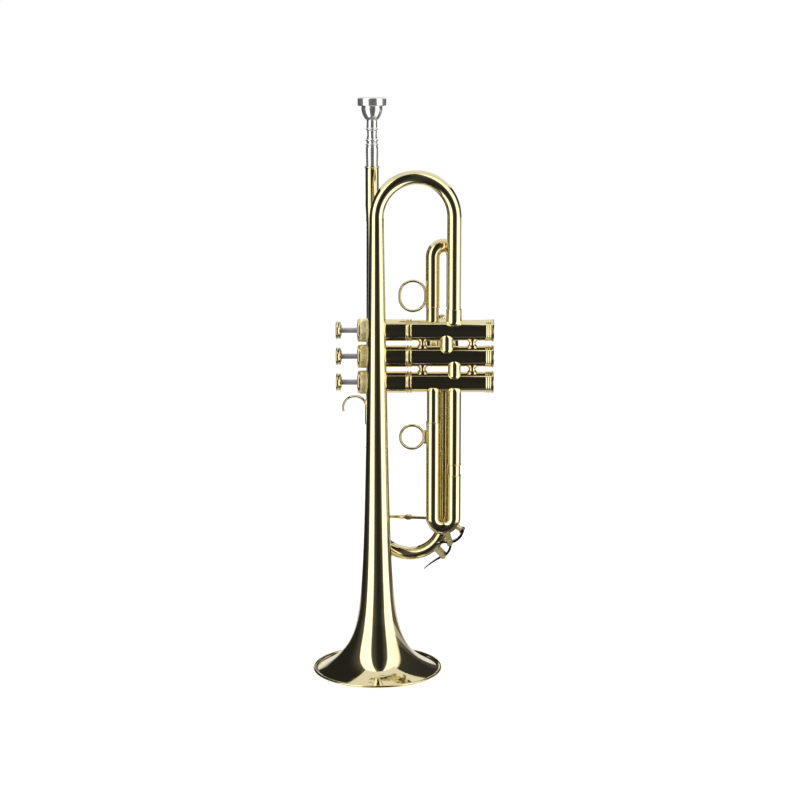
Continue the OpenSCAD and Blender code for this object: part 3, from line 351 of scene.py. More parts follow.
class Wardrobe:
    """Keeps one material for each finish and dresses pieces with it."""

    def __init__(self) -> None:
        """Starts with no materials made, and with the record's slot of each node."""
        self.made: dict[Slot, bpy.types.Material] = {}
        self.slots = {part["node"]: Slot(part["material_slot"]) for part in frame["record"]["subparts"]}

    def material(self, slot: Slot) -> bpy.types.Material:
        """The material of a finish, made when it is first asked for.

        Args:
            slot: Which finish.

        Returns:
            The material.
        """
        if slot not in self.made:
            self.made[slot] = FINISHES[slot].material()
        return self.made[slot]

    def dress(self, piece: bpy.types.Object, slot: Slot) -> None:
        """Gives a piece one finish all over.

        Args:
            piece: The object.
            slot: Which finish.
        """
        piece.data.materials.clear()
        piece.data.materials.append(self.material(slot))
        LOG.info("%s: %s", piece.name, slot.value)

    def dress_nodes(self, nodes: Sequence[str]) -> None:
        """Gives each CAD node the finish of its slot in the record.

        Args:
            nodes: Names of the nodes.
        """
        for node in nodes:
            self.dress(frame["nodes"][node], self.slots[node])


# ------------------------------------------------------------------ metalwork


class Metalwork:
    """Gathers the surfaces of one piece, in millimetres, and turns them into an object."""

    def __init__(self) -> None:
        """Starts with no surface."""
        self.points: list[Point] = []
        self.faces: list[tuple[int, ...]] = []

    def grid(self, rows: Sequence[Sequence[Point]], loop: bool = False, caps: bool = False) -> None:
        """Adds a surface through rows of points, each row closed on itself.

        Args:
            rows: Rows of equally many points.
            loop: Whether the last row joins the first.
            caps: Whether the first and last row are closed with a face.
        """
        base, wide = len(self.points), len(rows[0])
        for row in rows:
            self.points.extend(row)
        last = len(rows) if loop else len(rows) - 1
        for i in range(last):
            a, b = base + i * wide, base + (i + 1) % len(rows) * wide
            for j in range(wide):
                k = (j + 1) % wide
                self.faces.append((a + j, a + k, b + k, b + j))
        if caps:
            end = base + (len(rows) - 1) * wide
            self.faces.append(tuple(base + j for j in range(wide)))
            self.faces.append(tuple(end + j for j in reversed(range(wide))))

    def turn_z(self, outline: Sequence[Flat], centre: Flat, count: int) -> None:
        """Turns an open outline about an upright axis.

        Args:
            outline: Points of (radius, height).
            centre: Where the axis stands.
            count: Points around.
        """
        x, y = centre
        turns = [2 * math.pi * j / count for j in range(count)]
        self.grid([[(x + r * math.cos(a), y + r * math.sin(a), z) for a in turns] for r, z in outline])

    def turn_x(self, outline: Sequence[Ridged], centre: Flat, ridges: int) -> None:
        """Turns a closed outline about an axis along X, with ridges around where it asks for them.

        Args:
            outline: Points of (radius, x, depth of the ridges there).
            centre: The axis's (y, z).
            ridges: How many ridges go round.
        """
        count = ridges * len(RIDGE)
        rows = []
        for r, x, depth in outline:
            row = []
            for j in range(count):
                a = 2 * math.pi * j / count
                reach = r - depth * RIDGE[j % len(RIDGE)]
                row.append((x, centre[0] + reach * math.cos(a), centre[1] + reach * math.sin(a)))
            rows.append(row)
        self.grid(rows, loop=True)

    def sweep(self, path: Sequence[Point], side: Sequence[Point], section: Sequence[Flat], along: Point,
              loop: bool = False) -> None:
        """Carries a section along a flat path.

        Args:
            path: The section's centre at each station.
            side: The section's first direction at each station.
            section: Points of (first, second) direction.
            along: The second direction, the same everywhere.
            loop: Whether the path is closed.
        """
        rows = []
        for p, n in zip(path, side):
            rows.append([tuple(p[k] + u * n[k] + v * along[k] for k in range(3)) for u, v in section])
        self.grid(rows, loop, caps=not loop)

    def clear_rod(self, centre: Flat, radius: float) -> None:
        """Moves points that lie inside an upright rod out to its surface.

        Args:
            centre: Where the rod stands.
            radius: The rod's radius.
        """
        for i, (x, y, z) in enumerate(self.points):
            dx, dy = x - centre[0], y - centre[1]
            far = math.hypot(dx, dy)
            if far < radius:
                grow = radius / max(far, 0.01)
                self.points[i] = (centre[0] + dx * grow, centre[1] + dy * grow, z)

    def lift_off_valve(self, y: float, z: float, radius: float) -> None:
        """Raises points that lie inside a casing along X to its surface.

        Args:
            y: Y of the casing's axis.
            z: Height of the casing's axis.
            radius: The casing's radius.
        """
        for i, (px, py, pz) in enumerate(self.points):
            if abs(py - y) < radius:
                top = z + math.sqrt(radius ** 2 - (py - y) ** 2)
                if pz < top:
                    self.points[i] = (px, py, top)

    def build(self, name: str, node: str, body: Body, slot: Slot,
              wardrobe: Wardrobe) -> bpy.types.Object:
        """Makes the object in place of a CAD node and dresses it.

        Args:
            name: The object's name.
            node: The node it stands for.
            body: The body it rides on.
            slot: Its finish, which is also its material slot.
            wardrobe: Where the material comes from.

        Returns:
            The object.
        """
        mesh = bpy.data.meshes.new(name)
        mesh.from_pydata([(x * MM, y * MM, z * MM) for x, y, z in self.points], [], self.faces)
        work = bmesh.new()
        work.from_mesh(mesh)
        bmesh.ops.remove_doubles(work, verts=work.verts, dist=WELD)
        bmesh.ops.recalc_face_normals(work, faces=work.faces)
        work.to_mesh(mesh)
        work.free()
        mesh.shade_smooth()
        mesh.set_sharp_from_angle(angle=math.radians(CREASE))
        piece = bpy.data.objects.new(name, mesh)
        bpy.context.scene.collection.objects.link(piece)
        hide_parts(node)
        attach(piece, body.value)
        wardrobe.dress(piece, slot)
        return piece


def arc(centre: Flat, radius: float, start: float, end: float, steps: int) -> list[Flat]:
    """Points of an arc.

    Args:
        centre: Its centre.
        radius: Its radius.
        start: First angle, in degrees.
        end: Last angle.
        steps: How many steps it takes.

    Returns:
        The points.
    """
    turns = [math.radians(start + (end - start) * i / steps) for i in range(steps + 1)]
    return [(centre[0] + radius * math.cos(a), centre[1] + radius * math.sin(a)) for a in turns]


def soft_section(half_u: float, half_v: float, power: float) -> list[Flat]:
    """A rounded section between an ellipse and a rectangle.

    Args:
        half_u: Half of its size one way.
        half_v: Half of its size the other way.
        power: 2 for an ellipse, more for squarer.

    Returns:
        The points.
    """
    count = 28
    points = []
    for i in range(count):
        c, s = math.cos(2 * math.pi * i / count), math.sin(2 * math.pi * i / count)
        points.append((half_u * math.copysign(abs(c) ** (2 / power), c),
                       half_v * math.copysign(abs(s) ** (2 / power), s)))
    return points


# ------------------------------------------------------------------ sub-assemblies, in millimetres


@dataclass
class ValveBlock:
    """The three casings with their caps, spacers and air ways."""

    nodes: tuple[str, ...] = (
        "casing_1", "casing_2", "casing_3", "casing_spacers", "knuckles", "casing_braces", "bottom_cap_1",
        "bottom_cap_2", "bottom_cap_3", "top_cap_1", "top_cap_2", "top_cap_3", "cap_felts", "valve_guides",
    )
    heights: tuple[float, float, float] = (324.2, 299.5, 274.8)
    casing_d: float = 19.7
    barrel_d: float = 20.7
    cap_d: float = 22.2
    cap_len: float = 13.4
    cap_wall: float = 1.5
    cap_rise: float = 0.5
    cap_fit: float = 0.05
    cap_ridges: int = 32
    casing_top_x: float = -16.4
    stem_hole_d: float = 6.7
    felt_d: float = 12.0
    felt_seat: float = 1.0
    shoulder_r: float = 1.2
    bead_r: float = 0.6
    groove: float = 0.45
    band_start: float = 2.8
    band_end: float = 2.9
    band_ridges: int = 84
    ridge: float = 0.3

    def y(self) -> float:
        """Y of the valves' axes, in millimetres, from where the middle casing is."""
        low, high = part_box("casing_2")
        return (low.y + high.y) / 2 / MM

    def cap_outline(self, x0: float) -> list[Ridged]:
        """The top cap's section, with a bead at each end and a groove for the knurled band.

        Args:
            x0: X of the cap's top.

        Returns:
            Points of (radius, x, depth of the ridges).
        """
        r, x1 = self.cap_d / 2, x0 + self.cap_len
        hole, felt, skirt = self.stem_hole_d / 2, self.felt_d / 2, self.barrel_d / 2 + self.cap_fit
        seat, under, soft, bead = x0 + self.felt_seat, x0 + self.cap_wall, self.shoulder_r, self.bead_r
        start, end, bottom = x0 + self.band_start, x1 - self.band_end, r - self.groove
        points = [(hole, seat), (felt, seat), (felt, x0 + 0.05), (felt + 0.4, x0)]
        points += [(q, p) for p, q in arc((x0 + soft, r - soft), soft, 180, 90, 8)]
        points += [(r, start - 0.7), (r - 0.35, start - 0.3), (bottom, start), (bottom, end)]
        points += [(q, p) for p, q in arc((end + 1.5 * bead, r - bead), bead, 160, 20, 8)]
        points += [(r - 0.7, x1 - 0.3), (r - 0.9, x1), (skirt, x1), (skirt, under), (hole, under)]
        return [(q, p, 0.0) for q, p in points]

    def band_outline(self, x0: float) -> list[Ridged]:
        """The knurled band's section.

        Args:
            x0: X of the cap's top.

        Returns:
            Points of (radius, x, depth of the ridges).
        """
        r = self.cap_d / 2
        start, end = x0 + self.band_start, x0 + self.cap_len - self.band_end
        inside, edge, top, shallow = r - self.groove - 0.03, r - 0.25, r - 0.02, self.ridge / 3
        return [(inside, start, 0.0), (edge, start + 0.05, shallow), (top, start + 0.4, self.ridge),
                (top, end - 0.6, self.ridge), (edge, end - 0.2, shallow), (inside, end - 0.15, 0.0)]

    def build(self, wardrobe: Wardrobe) -> None:
        """Dresses the block and makes the top caps with their knurled bands.

        Args:
            wardrobe: Where the material comes from.
        """
        wardrobe.dress_nodes(self.nodes)
        x0 = self.casing_top_x - self.cap_wall - self.cap_rise
        for k, z in enumerate(self.heights, 1):
            cap, band = Metalwork(), Metalwork()
            cap.turn_x(self.cap_outline(x0), (self.y(), z), self.cap_ridges)
            cap.build(f"cap_beads_{k}", f"top_cap_{k}", Body.HORN, Slot.LACQUERED_BRASS, wardrobe)
            band.turn_x(self.band_outline(x0), (self.y(), z), self.band_ridges)
            band.build(f"cap_knurl_{k}", f"top_cap_{k}", Body.HORN, Slot.FITTING_BRASS, wardrobe)


@dataclass
class Valve:
    """One valve: piston, stem, felt, button and pearl, and the spring that returns it."""

    number: int
    coil_d: float = 10.0
    wire_d: float = 0.8
    turns: int = 9
    plate_x: float = -13.0
    guide_x: float = 27.4
    stroke: float = 14.0
    play: float = 0.02
    per_turn: int = 28
    wire_sides: int = 10

    def nodes(self) -> list[str]:
        """The CAD nodes of this valve."""
        names = ("piston", "stem", "stem_felt", "button", "pearl", "valve_spring")
        return [f"{name}_{self.number}" for name in names]

    def coil(self, y: float, z: float) -> Metalwork:
        """The spring's wire, wound from the piston's plate to the guide that rests in the casing.

        Args:
            y: Y of the valve's axis.
            z: Height of the valve's axis.

        Returns:
            The wire's surface.
        """
        r, half = (self.coil_d - self.wire_d) / 2, self.wire_d / 2
        low, high = self.plate_x + half + self.play, self.guide_x - half - self.play
        count = self.turns * self.per_turn
        rows = []
        for i in range(count + 1):
            a = 2 * math.pi * i / self.per_turn
            x = low + (high - low) * i / count
            row = []
            for j in range(self.wire_sides):
                b = 2 * math.pi * j / self.wire_sides
                out = r + half * math.cos(b)
                row.append((x + half * math.sin(b), y + out * math.cos(a), z + out * math.sin(a)))
            rows.append(row)
        wire = Metalwork()
        wire.grid(rows, caps=True)
        return wire

    def build(self, block: ValveBlock, wardrobe: Wardrobe) -> None:
        """Dresses the valve and makes its spring, fixed at its rest length.

        Args:
            block: The casings.
            wardrobe: Where the material comes from.
        """
        wardrobe.dress_nodes(self.nodes())
        y, z = block.y(), block.heights[self.number - 1]
        spring = self.coil(y, z).build(f"spring_coil_{self.number}", f"valve_spring_{self.number}", Body.HORN,
                                       Slot.SPRING_STEEL, wardrobe)
        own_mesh(spring)


@dataclass
class BellAssembly:
    """Flare, stem, bow and tail, with the rim rolled back over its wire, and its braces."""

    nodes: tuple[str, ...] = ("bell", "rim_wire", "bell_braces")
    bell_d: float = 123.0
    length: float = 431.0
    end_d: float = 13.4
    taper: float = 0.0162
    flare_depth: float = 50.0
    flare_power: float = 2.8
    wall: float = 0.6
    wire_d: float = 1.8
    roll: float = 0.45
    land: float = 0.6
    bow_d: float = 13.3
    tail_x: float = 72.1
    tail_offset: float = 5.9
    ferrule_d: float = 14.8
    ferrule_len: float = 11.0
    ferrule_edge: float = 0.35
    end_reach: float = 3.8
    outer_from: float = 0.3
    inner_from: float = 1.6
    roll_from: float = 233.0
    stations: int = 160
    crowding: float = 2.2
    sides: int = 224
    bow_steps: int = 96
    bow_sides: int = 64
    tail_step: float = 5.0
    tail_steps: int = 17
    tail_sides: int = 96

    def bead_r(self) -> float:
        """Radius of the rim where it is rolled over its wire."""
        return self.wire_d / 2 + self.roll

    def rim_r(self) -> float:
        """Radius of the circle that the rim's wire makes."""
        return self.bell_d / 2 - self.bead_r()

    def radius(self, z: float) -> float:
        """The bell's outside radius at a height.

        Args:
            z: The height over the rim.

        Returns:
            The radius.
        """
        share = (self.flare_depth / (self.length + self.flare_depth)) ** self.flare_power
        wide = self.rim_r() - self.end_d / 2 - self.taper * self.length
        grow = ((self.flare_depth / (z + self.flare_depth)) ** self.flare_power - share) / (1 - share)
        return self.end_d / 2 + self.taper * (self.length - z) + wide * grow

    def inside(self, z: float) -> Flat:
        """The point of the inner wall across from the outside at a height.

        Args:
            z: The height of the outside point.

        Returns:
            The inner point's (radius, height).
        """
        step = 0.01
        slope = (self.radius(z + step) - self.radius(z)) / step
        size = math.hypot(1, slope)
        return self.radius(z) - self.wall / size, z + self.wall * slope / size

    def outline(self) -> list[Flat]:
        """The section from the top of the stem, round the rim and up the inside.

        Returns:
            Points of (radius, height).
        """
        bead, rim = self.bead_r(), self.rim_r()
        heights = [self.length * (i / self.stations) ** self.crowding for i in range(self.stations, 2, -1)]
        outer = [(self.radius(z), z) for z in heights if z > self.outer_from]
        over = arc((rim, bead), bead, self.roll_from, -90, 30)
        under = arc((rim - self.land, bead), bead, -90, -180, 10)
        inner = [self.inside(z) for z in reversed(heights) if z > self.inner_from]
        return outer + over + under + inner

    def tail_outline(self, valves: ValveBlock) -> list[Flat]:
        """The tail's section from the bow down to its round end on the first valve.

        Args:
            valves: The valves that the tail ends on.

        Returns:
            Points of (radius, height).
        """
        z = valves.heights[0]
        half, r, edge = valves.casing_d / 2, self.ferrule_d / 2, self.ferrule_edge
        near = math.sqrt(half ** 2 - self.end_reach ** 2) - self.tail_offset
        centre = z + self.end_reach + math.sqrt(max(0.0, r ** 2 - near ** 2))
        top = z + half + self.ferrule_len
        points = [(self.bow_d / 2, self.length - self.tail_step * i) for i in range(self.tail_steps)]
        points += [(self.bow_d / 2, top + 0.05)] + arc((r - edge, top - edge), edge, 90, 0, 5)
        points += arc((0.0, centre), r, 0, -89, 24)
        return points

    def add_bow(self, bell: Metalwork, tail: Flat) -> None:
        """Adds the half circle of tube from the stem over to the tail.

        Args:
            bell: The surfaces to add to.
            tail: Where the tail's axis stands.
        """
        radius = math.hypot(*tail) / 2
        out = (tail[0] / (2 * radius), tail[1] / (2 * radius))
        path, side = [], []
        for i in range(self.bow_steps + 1):
            a = math.pi * i / self.bow_steps
            reach, rise = radius * (1 - math.cos(a)), radius * math.sin(a)
            path.append((out[0] * reach, out[1] * reach, self.length + rise))
            side.append((-out[0] * math.cos(a), -out[1] * math.cos(a), math.sin(a)))
        ring = arc((0, 0), self.bow_d / 2, 0, 360, self.bow_sides)[:-1]
        bell.sweep(path, side, ring, (-out[1], out[0], 0.0))

    def build(self, valves: ValveBlock, wardrobe: Wardrobe) -> None:
        """Dresses the braces and the rim's wire, and makes the bell as one piece.

        Args:
            valves: The valves that the tail ends on.
            wardrobe: Where the material comes from.
        """
        wardrobe.dress_nodes(self.nodes)
        bell = Metalwork()
        y = valves.y()
        tail = (self.tail_x, y - self.tail_offset)
        bell.turn_z(self.tail_outline(valves), tail, self.tail_sides)
        bell.lift_off_valve(y, valves.heights[0], valves.casing_d / 2)
        bell.turn_z(self.outline(), (0.0, 0.0), self.sides)
        self.add_bow(bell, tail)
        bell.build("bell_spun", "bell", Body.HORN, Slot.LACQUERED_BRASS, wardrobe)


@dataclass
class FingerRing:
    """A ring for a finger, held to a slide by a small foot."""

    name: str
    node: str
    body: Body
    leg: Flat
    height: float
    wide: float
    tall: float
    gap: float
    foot: float
    band: float = 2.7
    depth: float = 5.0
    leg_d: float = 13.0
    sink: float = 0.6
    foot_min: float = 1.0
    lap: float = 2.0
    band_power: float = 2.2
    foot_power: float = 2.6
    steps: int = 128
    foot_steps: int = 24

    def centre_x(self) -> float:
        """X of the ring's centre."""
        return self.leg[0] - self.leg_d / 2 - self.gap - self.wide / 2

    def add_band(self, ring: Metalwork) -> None:
        """Adds the ring itself.

        Args:
            ring: The surfaces to add to.
        """
        r = self.wide / 2 - self.band / 2
        rise = (self.tall - self.wide) / 2
        path, side = [], []
        for i in range(self.steps):
            a = 2 * math.pi * (i + 0.5) / self.steps
            up = self.height + math.copysign(rise, math.sin(a)) + r * math.sin(a)
            side.append((math.cos(a), 0.0, math.sin(a)))
            path.append((self.centre_x() + r * math.cos(a), self.leg[1], up))
        section = soft_section(self.band / 2, self.depth / 2, self.band_power)
        ring.sweep(path, side, section, (0.0, 1.0, 0.0), loop=True)

    def add_foot(self, ring: Metalwork) -> None:
        """Adds the foot between the ring and the slide's leg.

        Args:
            ring: The surfaces to add to.
        """
        edge = self.leg[0] - self.leg_d / 2
        x0, x1 = min(edge - self.foot_min, self.centre_x() + self.wide / 2 - self.lap), edge + self.sink
        rows = []
        for i in range(self.foot_steps + 1):
            t = 2 * i / self.foot_steps - 1
            slim = max(0.05, math.sqrt(max(0.0, 1 - abs(t) ** 5)))
            section = soft_section((x1 - x0) / 2 * slim, self.depth / 2 * slim, self.foot_power)
            up = self.height + t * self.foot
            rows.append([((x0 + x1) / 2 + u, self.leg[1] + v, up) for u, v in section])
        ring.grid(rows, caps=True)
        ring.clear_rod(self.leg, self.leg_d / 2)

    def build(self, wardrobe: Wardrobe) -> None:
        """Makes the ring and its foot as one piece.

        Args:
            wardrobe: Where the material comes from.
        """
        ring = Metalwork()
        self.add_band(ring)
        self.add_foot(ring)
        ring.build(self.name, self.node, self.body, Slot.LACQUERED_BRASS, wardrobe)


@dataclass
class FingerHook:
    """The open hook for the little finger, with its foot on the leadpipe's sleeve."""

    lead: Flat = (-4.7, 41.0)
    sleeve_d: float = 13.0
    foot_top: float = 255.8
    foot_len: float = 26.0
    foot_t: float = 1.0
    foot_turn: float = 38.0
    foot_rows: int = 40
    foot_sides: int = 23
    radius: float = 11.2
    thick: float = 2.4
    wide: float = 8.0
    sink: float = 0.6
    drop: float = 9.0
    start: float = -8.0
    turn: float = 208.0
    tip: float = 0.03
    power: float = 2.4
    steps: int = 80

    def add_bend(self, hook: Metalwork) -> None:
        """Adds the bent strip, with a round tip.

        Args:
            hook: The surfaces to add to.
        """
        cx, cz = self.lead[0] - self.sleeve_d / 2 - self.radius + self.sink, self.foot_top - self.drop
        rows = []
        for i in range(self.steps + 1):
            t = i / self.steps
            a = math.radians(self.start + self.turn * t)
            past = max(0.0, t - (1 - self.tip)) / self.tip
            slim = max(0.08, math.sqrt(max(0.0, 1 - past ** 2)))
            n = (math.cos(a), math.sin(a))
            section = soft_section(self.thick / 2 * slim, self.wide / 2 * slim, self.power)
            rows.append([(cx + (self.radius + u) * n[0], self.lead[1] + v, cz + (self.radius + u) * n[1])
                         for u, v in section])
        hook.grid(rows, caps=True)

    def round_sleeve(self, r: float, share: float, z: float) -> Point:
        """A point at a radius from the sleeve's axis, at a share of the foot's turn and a height."""
        a = math.radians(180 + self.foot_turn * share)
        return self.lead[0] + r * math.cos(a), self.lead[1] + r * math.sin(a), z

    def add_foot(self, hook: Metalwork) -> None:
        """Adds the foot, a thin plate that wraps part of the sleeve and fades out at its edges.

        Args:
            hook: The surfaces to add to.
        """
        least, r = 0.02, self.sleeve_d / 2
        rows = []
        for i in range(self.foot_rows + 1):
            t = 2 * i / self.foot_rows - 1
            z = self.foot_top - self.foot_len / 2 + t * self.foot_len / 2
            high = max(least, self.foot_t * (1 - abs(t) ** 12))
            row = []
            for j in range(self.foot_sides + 1):
                u = 2 * j / self.foot_sides - 1
                row.append(self.round_sleeve(r + max(least, (1 - abs(u) ** 8) * high), u, z))
            row += [self.round_sleeve(r, u, z) for u in (1.0, 0.33, -0.33, -1.0)]
            rows.append(row)
        hook.grid(rows, caps=True)
        hook.clear_rod(self.lead, r)

    def build(self, wardrobe: Wardrobe) -> None:
        """Makes the hook and its foot as one piece.

        Args:
            wardrobe: Where the material comes from.
        """
        hook = Metalwork()
        self.add_bend(hook)
        self.add_foot(hook)
        hook.build("finger_hook_bent", "finger_hook", Body.HORN, Slot.LACQUERED_BRASS, wardrobe)


@dataclass
class Slide:
    """A slide that pulls out: its fixed and its moving tubes, and a finger ring where it has one."""

    nodes: tuple[str, ...]
    ring: FingerRing | None = None

    def build(self, wardrobe: Wardrobe) -> None:
        """Dresses the tubes and makes the ring.

        Args:
            wardrobe: Where the material comes from.
        """
        wardrobe.dress_nodes(self.nodes)
        if self.ring:
            self.ring.build(wardrobe)


@dataclass
class WaterKey:
    """A sprung key that lets water out of a slide."""

    slide: str

    def build(self, wardrobe: Wardrobe) -> None:
        """Dresses the lever, its cork, saddle, screw and spring."""
        key = f"{self.slide}_key"
        wardrobe.dress_nodes([key, f"{key}_cork", f"{key}_saddle", f"{key}_screw", f"{key}_spring"])


@dataclass
class LeadPipe:
    """Mouthpiece, receiver and leadpipe, with the hook for the little finger."""

    nodes: tuple[str, ...] = ("mouthpiece", "receiver", "leadpipe", "finger_hook")

    def build(self, wardrobe: Wardrobe) -> None:
        """Dresses the pieces and makes the hook."""
        wardrobe.dress_nodes(self.nodes)
        FingerHook().build(wardrobe)


# ------------------------------------------------------------------ studio, in metres


class Zone(IntEnum):
    """Parts of the surround at one bearing."""

    WALL = 0
    UPPER = 1
    CEILING = 2
    FLOOR = 3
    NEAR = 4


def mesh_object(name: str, points: Sequence[Point], faces: Sequence[Sequence[int]]) -> bpy.types.Object:
    """Makes a mesh object and puts it in the scene.

    Args:
        name: The object's name.
        points: Its vertices, in metres.
        faces: Its faces, as indices of the points.

    Returns:
        The object.
    """
    mesh = bpy.data.meshes.new(name)
    mesh.from_pydata([tuple(p) for p in points], [], [tuple(f) for f in faces])
    mesh.update()
    thing = bpy.data.objects.new(name, mesh)
    bpy.context.scene.collection.objects.link(thing)
    return thing


@dataclass(frozen=True)
class Panel:
    """Brightness of the surround at one bearing: low wall, upper wall, ceiling, far and near floor."""

    start: float
    wall: float
    upper: float
    ceiling: float
    floor: float
    near: float

    def levels(self) -> tuple[float, ...]:
        """The levels in the order of Zone."""
        return self.wall, self.upper, self.ceiling, self.floor, self.near


@dataclass
class Studio:
    """Pale floor, white background, soft lamps and the panels that polished metal shows."""

    centre: Point
    radius: float = 2.0
    low: float = 0.0003
    near: float = 0.3
    blend: float = 0.08
    rim: float = 0.063
    skirt_top: float = 0.3
    ceiling: float = 0.64
    bearing_step: int = 2
    overhead_drop: float = 0.004
    overhead_level: float = 0.86
    floor_half: float = 9.0
    floor_drop: float = 0.0002
    floor_grey: float = 0.62
    floor_glow: float = 0.67
    ambient: float = 0.55

    PANELS = (
        Panel(-180, 0.9, 0.9, 0.03, 1.0, 0.8), Panel(-160, 0.9, 0.9, 0.03, 1.0, 0.8),
        Panel(-154, 0.02, 0.02, 0.02, 0.02, 0.8), Panel(-112, 0.02, 0.02, 0.02, 0.02, 0.8),
        Panel(-100, 0.03, 0.03, 0.03, 0.02, 0.03), Panel(-74, 0.12, 0.1, 0.1, 0.08, 0.05),
        Panel(-70, 1.7, 1.7, 1.7, 1.7, 0.1), Panel(-30, 1.7, 1.7, 1.7, 1.7, 0.1),
        Panel(-26, 0.12, 0.1, 0.1, 0.1, 0.04), Panel(0, 0.025, 0.02, 0.02, 0.022, 0.02),
        Panel(20, 0.025, 0.02, 0.02, 0.025, 0.02), Panel(40, 0.14, 0.1, 0.1, 0.1, 0.04),
        Panel(46, 1.7, 1.7, 1.7, 1.7, 0.1), Panel(90, 1.7, 1.4, 1.2, 1.7, 0.1),
        Panel(98, 0.6, 0.2, 0.05, 0.12, 0.2), Panel(112, 0.45, 0.12, 0.04, 0.1, 0.6),
        Panel(150, 0.4, 0.06, 0.03, 0.14, 0.8), Panel(160, 0.8, 0.06, 0.03, 0.9, 0.8),
        Panel(180, 0.9, 0.06, 0.03, 1.0, 0.8),
    )

    def brightness(self, bearing: float) -> list[float]:
        """Brightness of the surround at a bearing.

        Args:
            bearing: Degrees from the camera's side, positive to the right.

        Returns:
            The brightness of each zone.
        """
        for left, right in zip(self.PANELS, self.PANELS[1:]):
            if bearing <= right.start:
                share = (bearing - left.start) / (right.start - left.start)
                return [a + share * (b - a) for a, b in zip(left.levels(), right.levels())]
        return list(self.PANELS[-1].levels())

    def ray_white(self, tree: bpy.types.NodeTree) -> Socket:
        """Adds nodes that give 1 for camera, glossy and transmission rays.

        Args:
            tree: The node tree to add to.

        Returns:
            The value's socket.
        """
        path = tree.nodes.new("ShaderNodeLightPath")
        value = path.outputs["Is Camera Ray"]
        for name in ("Is Glossy Ray", "Is Transmission Ray"):
            larger = tree.nodes.new("ShaderNodeMath")
            larger.operation = "MAXIMUM"
            tree.links.new(value, larger.inputs[0])
            tree.links.new(path.outputs[name], larger.inputs[1])
            value = larger.outputs[0]
        return value

    def build_world(self) -> None:
        """White background for the camera and for reflections, with a plain ambient light."""
        world = bpy.data.worlds.new("studio")
        bpy.context.scene.world = world
        world.use_nodes = True
        tree = world.node_tree
        sky = tree.nodes["Background"]
        sky.inputs["Color"].default_value = (1, 1, 1, 1)
        level = tree.nodes.new("ShaderNodeMapRange")
        level.inputs["To Min"].default_value = self.ambient
        level.inputs["To Max"].default_value = 1.0
        tree.links.new(self.ray_white(tree), level.inputs["Value"])
        tree.links.new(level.outputs["Result"], sky.inputs["Strength"])

    def build_floor(self) -> None:
        """A pale floor that keeps the object's shadow and reads white beside the background."""
        h = self.floor_half
        floor = mesh_object("floor", [(-h, -h, 0), (h, -h, 0), (h, h, 0), (-h, h, 0)], [(0, 1, 2, 3)])
        floor.location.z = -self.floor_drop
        material = bpy.data.materials.new("floor")
        material.use_nodes = True
        tree = material.node_tree
        shader = tree.nodes["Principled BSDF"]
        shader.inputs["Base Color"].default_value = (self.floor_grey, self.floor_grey, self.floor_grey, 1)
        shader.inputs["Roughness"].default_value = 1.0
        shader.inputs["Specular IOR Level"].default_value = 0.0
        shader.inputs["Emission Color"].default_value = (1, 1, 1, 1)
        level = tree.nodes.new("ShaderNodeMath")
        level.operation = "MULTIPLY"
        level.inputs[1].default_value = self.floor_glow
        tree.links.new(self.ray_white(tree), level.inputs[0])
        tree.links.new(level.outputs[0], shader.inputs["Emission Strength"])
        floor.data.materials.append(material)

    def glow_only(self, thing: bpy.types.Object) -> None:
        """Makes a panel glow by its own levels and show in reflections only.

        Args:
            thing: A mesh with a point attribute named level.
        """
        material = bpy.data.materials.new(thing.name)
        material.use_nodes = True
        tree = material.node_tree
        tree.nodes.clear()
        glow = tree.nodes.new("ShaderNodeEmission")
        read = tree.nodes.new("ShaderNodeAttribute")
        read.attribute_name = "level"
        tree.links.new(read.outputs["Fac"], glow.inputs["Strength"])
        out = tree.nodes.new("ShaderNodeOutputMaterial")
        tree.links.new(glow.outputs[0], out.inputs["Surface"])
        thing.data.materials.append(material)
        thing.visible_camera = False
        thing.visible_diffuse = False
        thing.visible_transmission = False
        thing.visible_shadow = False
        thing.visible_volume_scatter = False

    def glow_levels(self, thing: bpy.types.Object, levels: Sequence[float]) -> None:
        """Gives a mesh a level at each point, and makes it glow by them."""
        thing.data.attributes.new("level", "FLOAT", "POINT").data.foreach_set("value", levels)
        self.glow_only(thing)

    def build_surround(self) -> None:
        """Floor ring, wall and ceiling in bearings, each with its brightness."""
        cx, cy, _ = self.centre
        low, far, near = self.low, self.radius, self.near
        rings = ((low, 0.0, Zone.NEAR), (low, near, Zone.NEAR), (low, near + self.blend, Zone.FLOOR),
                 (low, far, Zone.FLOOR), (low, far, Zone.WALL), (self.skirt_top, far, Zone.WALL),
                 (self.skirt_top, far, Zone.UPPER), (self.ceiling, far, Zone.UPPER),
                 (self.ceiling, far, Zone.CEILING), (self.ceiling, 0.01, Zone.CEILING))
        wide = len(rings)
        strips = [n for n in range(wide - 1) if rings[n][:2] != rings[n + 1][:2]]
        bearings = range(-180, 180 + self.bearing_step, self.bearing_step)
        points: list[Point] = []
        levels: list[float] = []
        for bearing in bearings:
            a = math.radians(bearing)
            bright = self.brightness(bearing)
            for z, r, zone in rings:
                if r:
                    points.append((cx + r * math.sin(a), cy - r * math.cos(a), z))
                else:
                    points.append((self.rim * math.sin(a), -self.rim * math.cos(a), z))
                levels.append(bright[zone])
        faces = []
        for i in range(len(bearings) - 1):
            for n in strips:
                k = wide * i + n
                faces.append((k, k + wide, k + wide + 1, k + 1))
        self.glow_levels(mesh_object("surround", points, faces), levels)

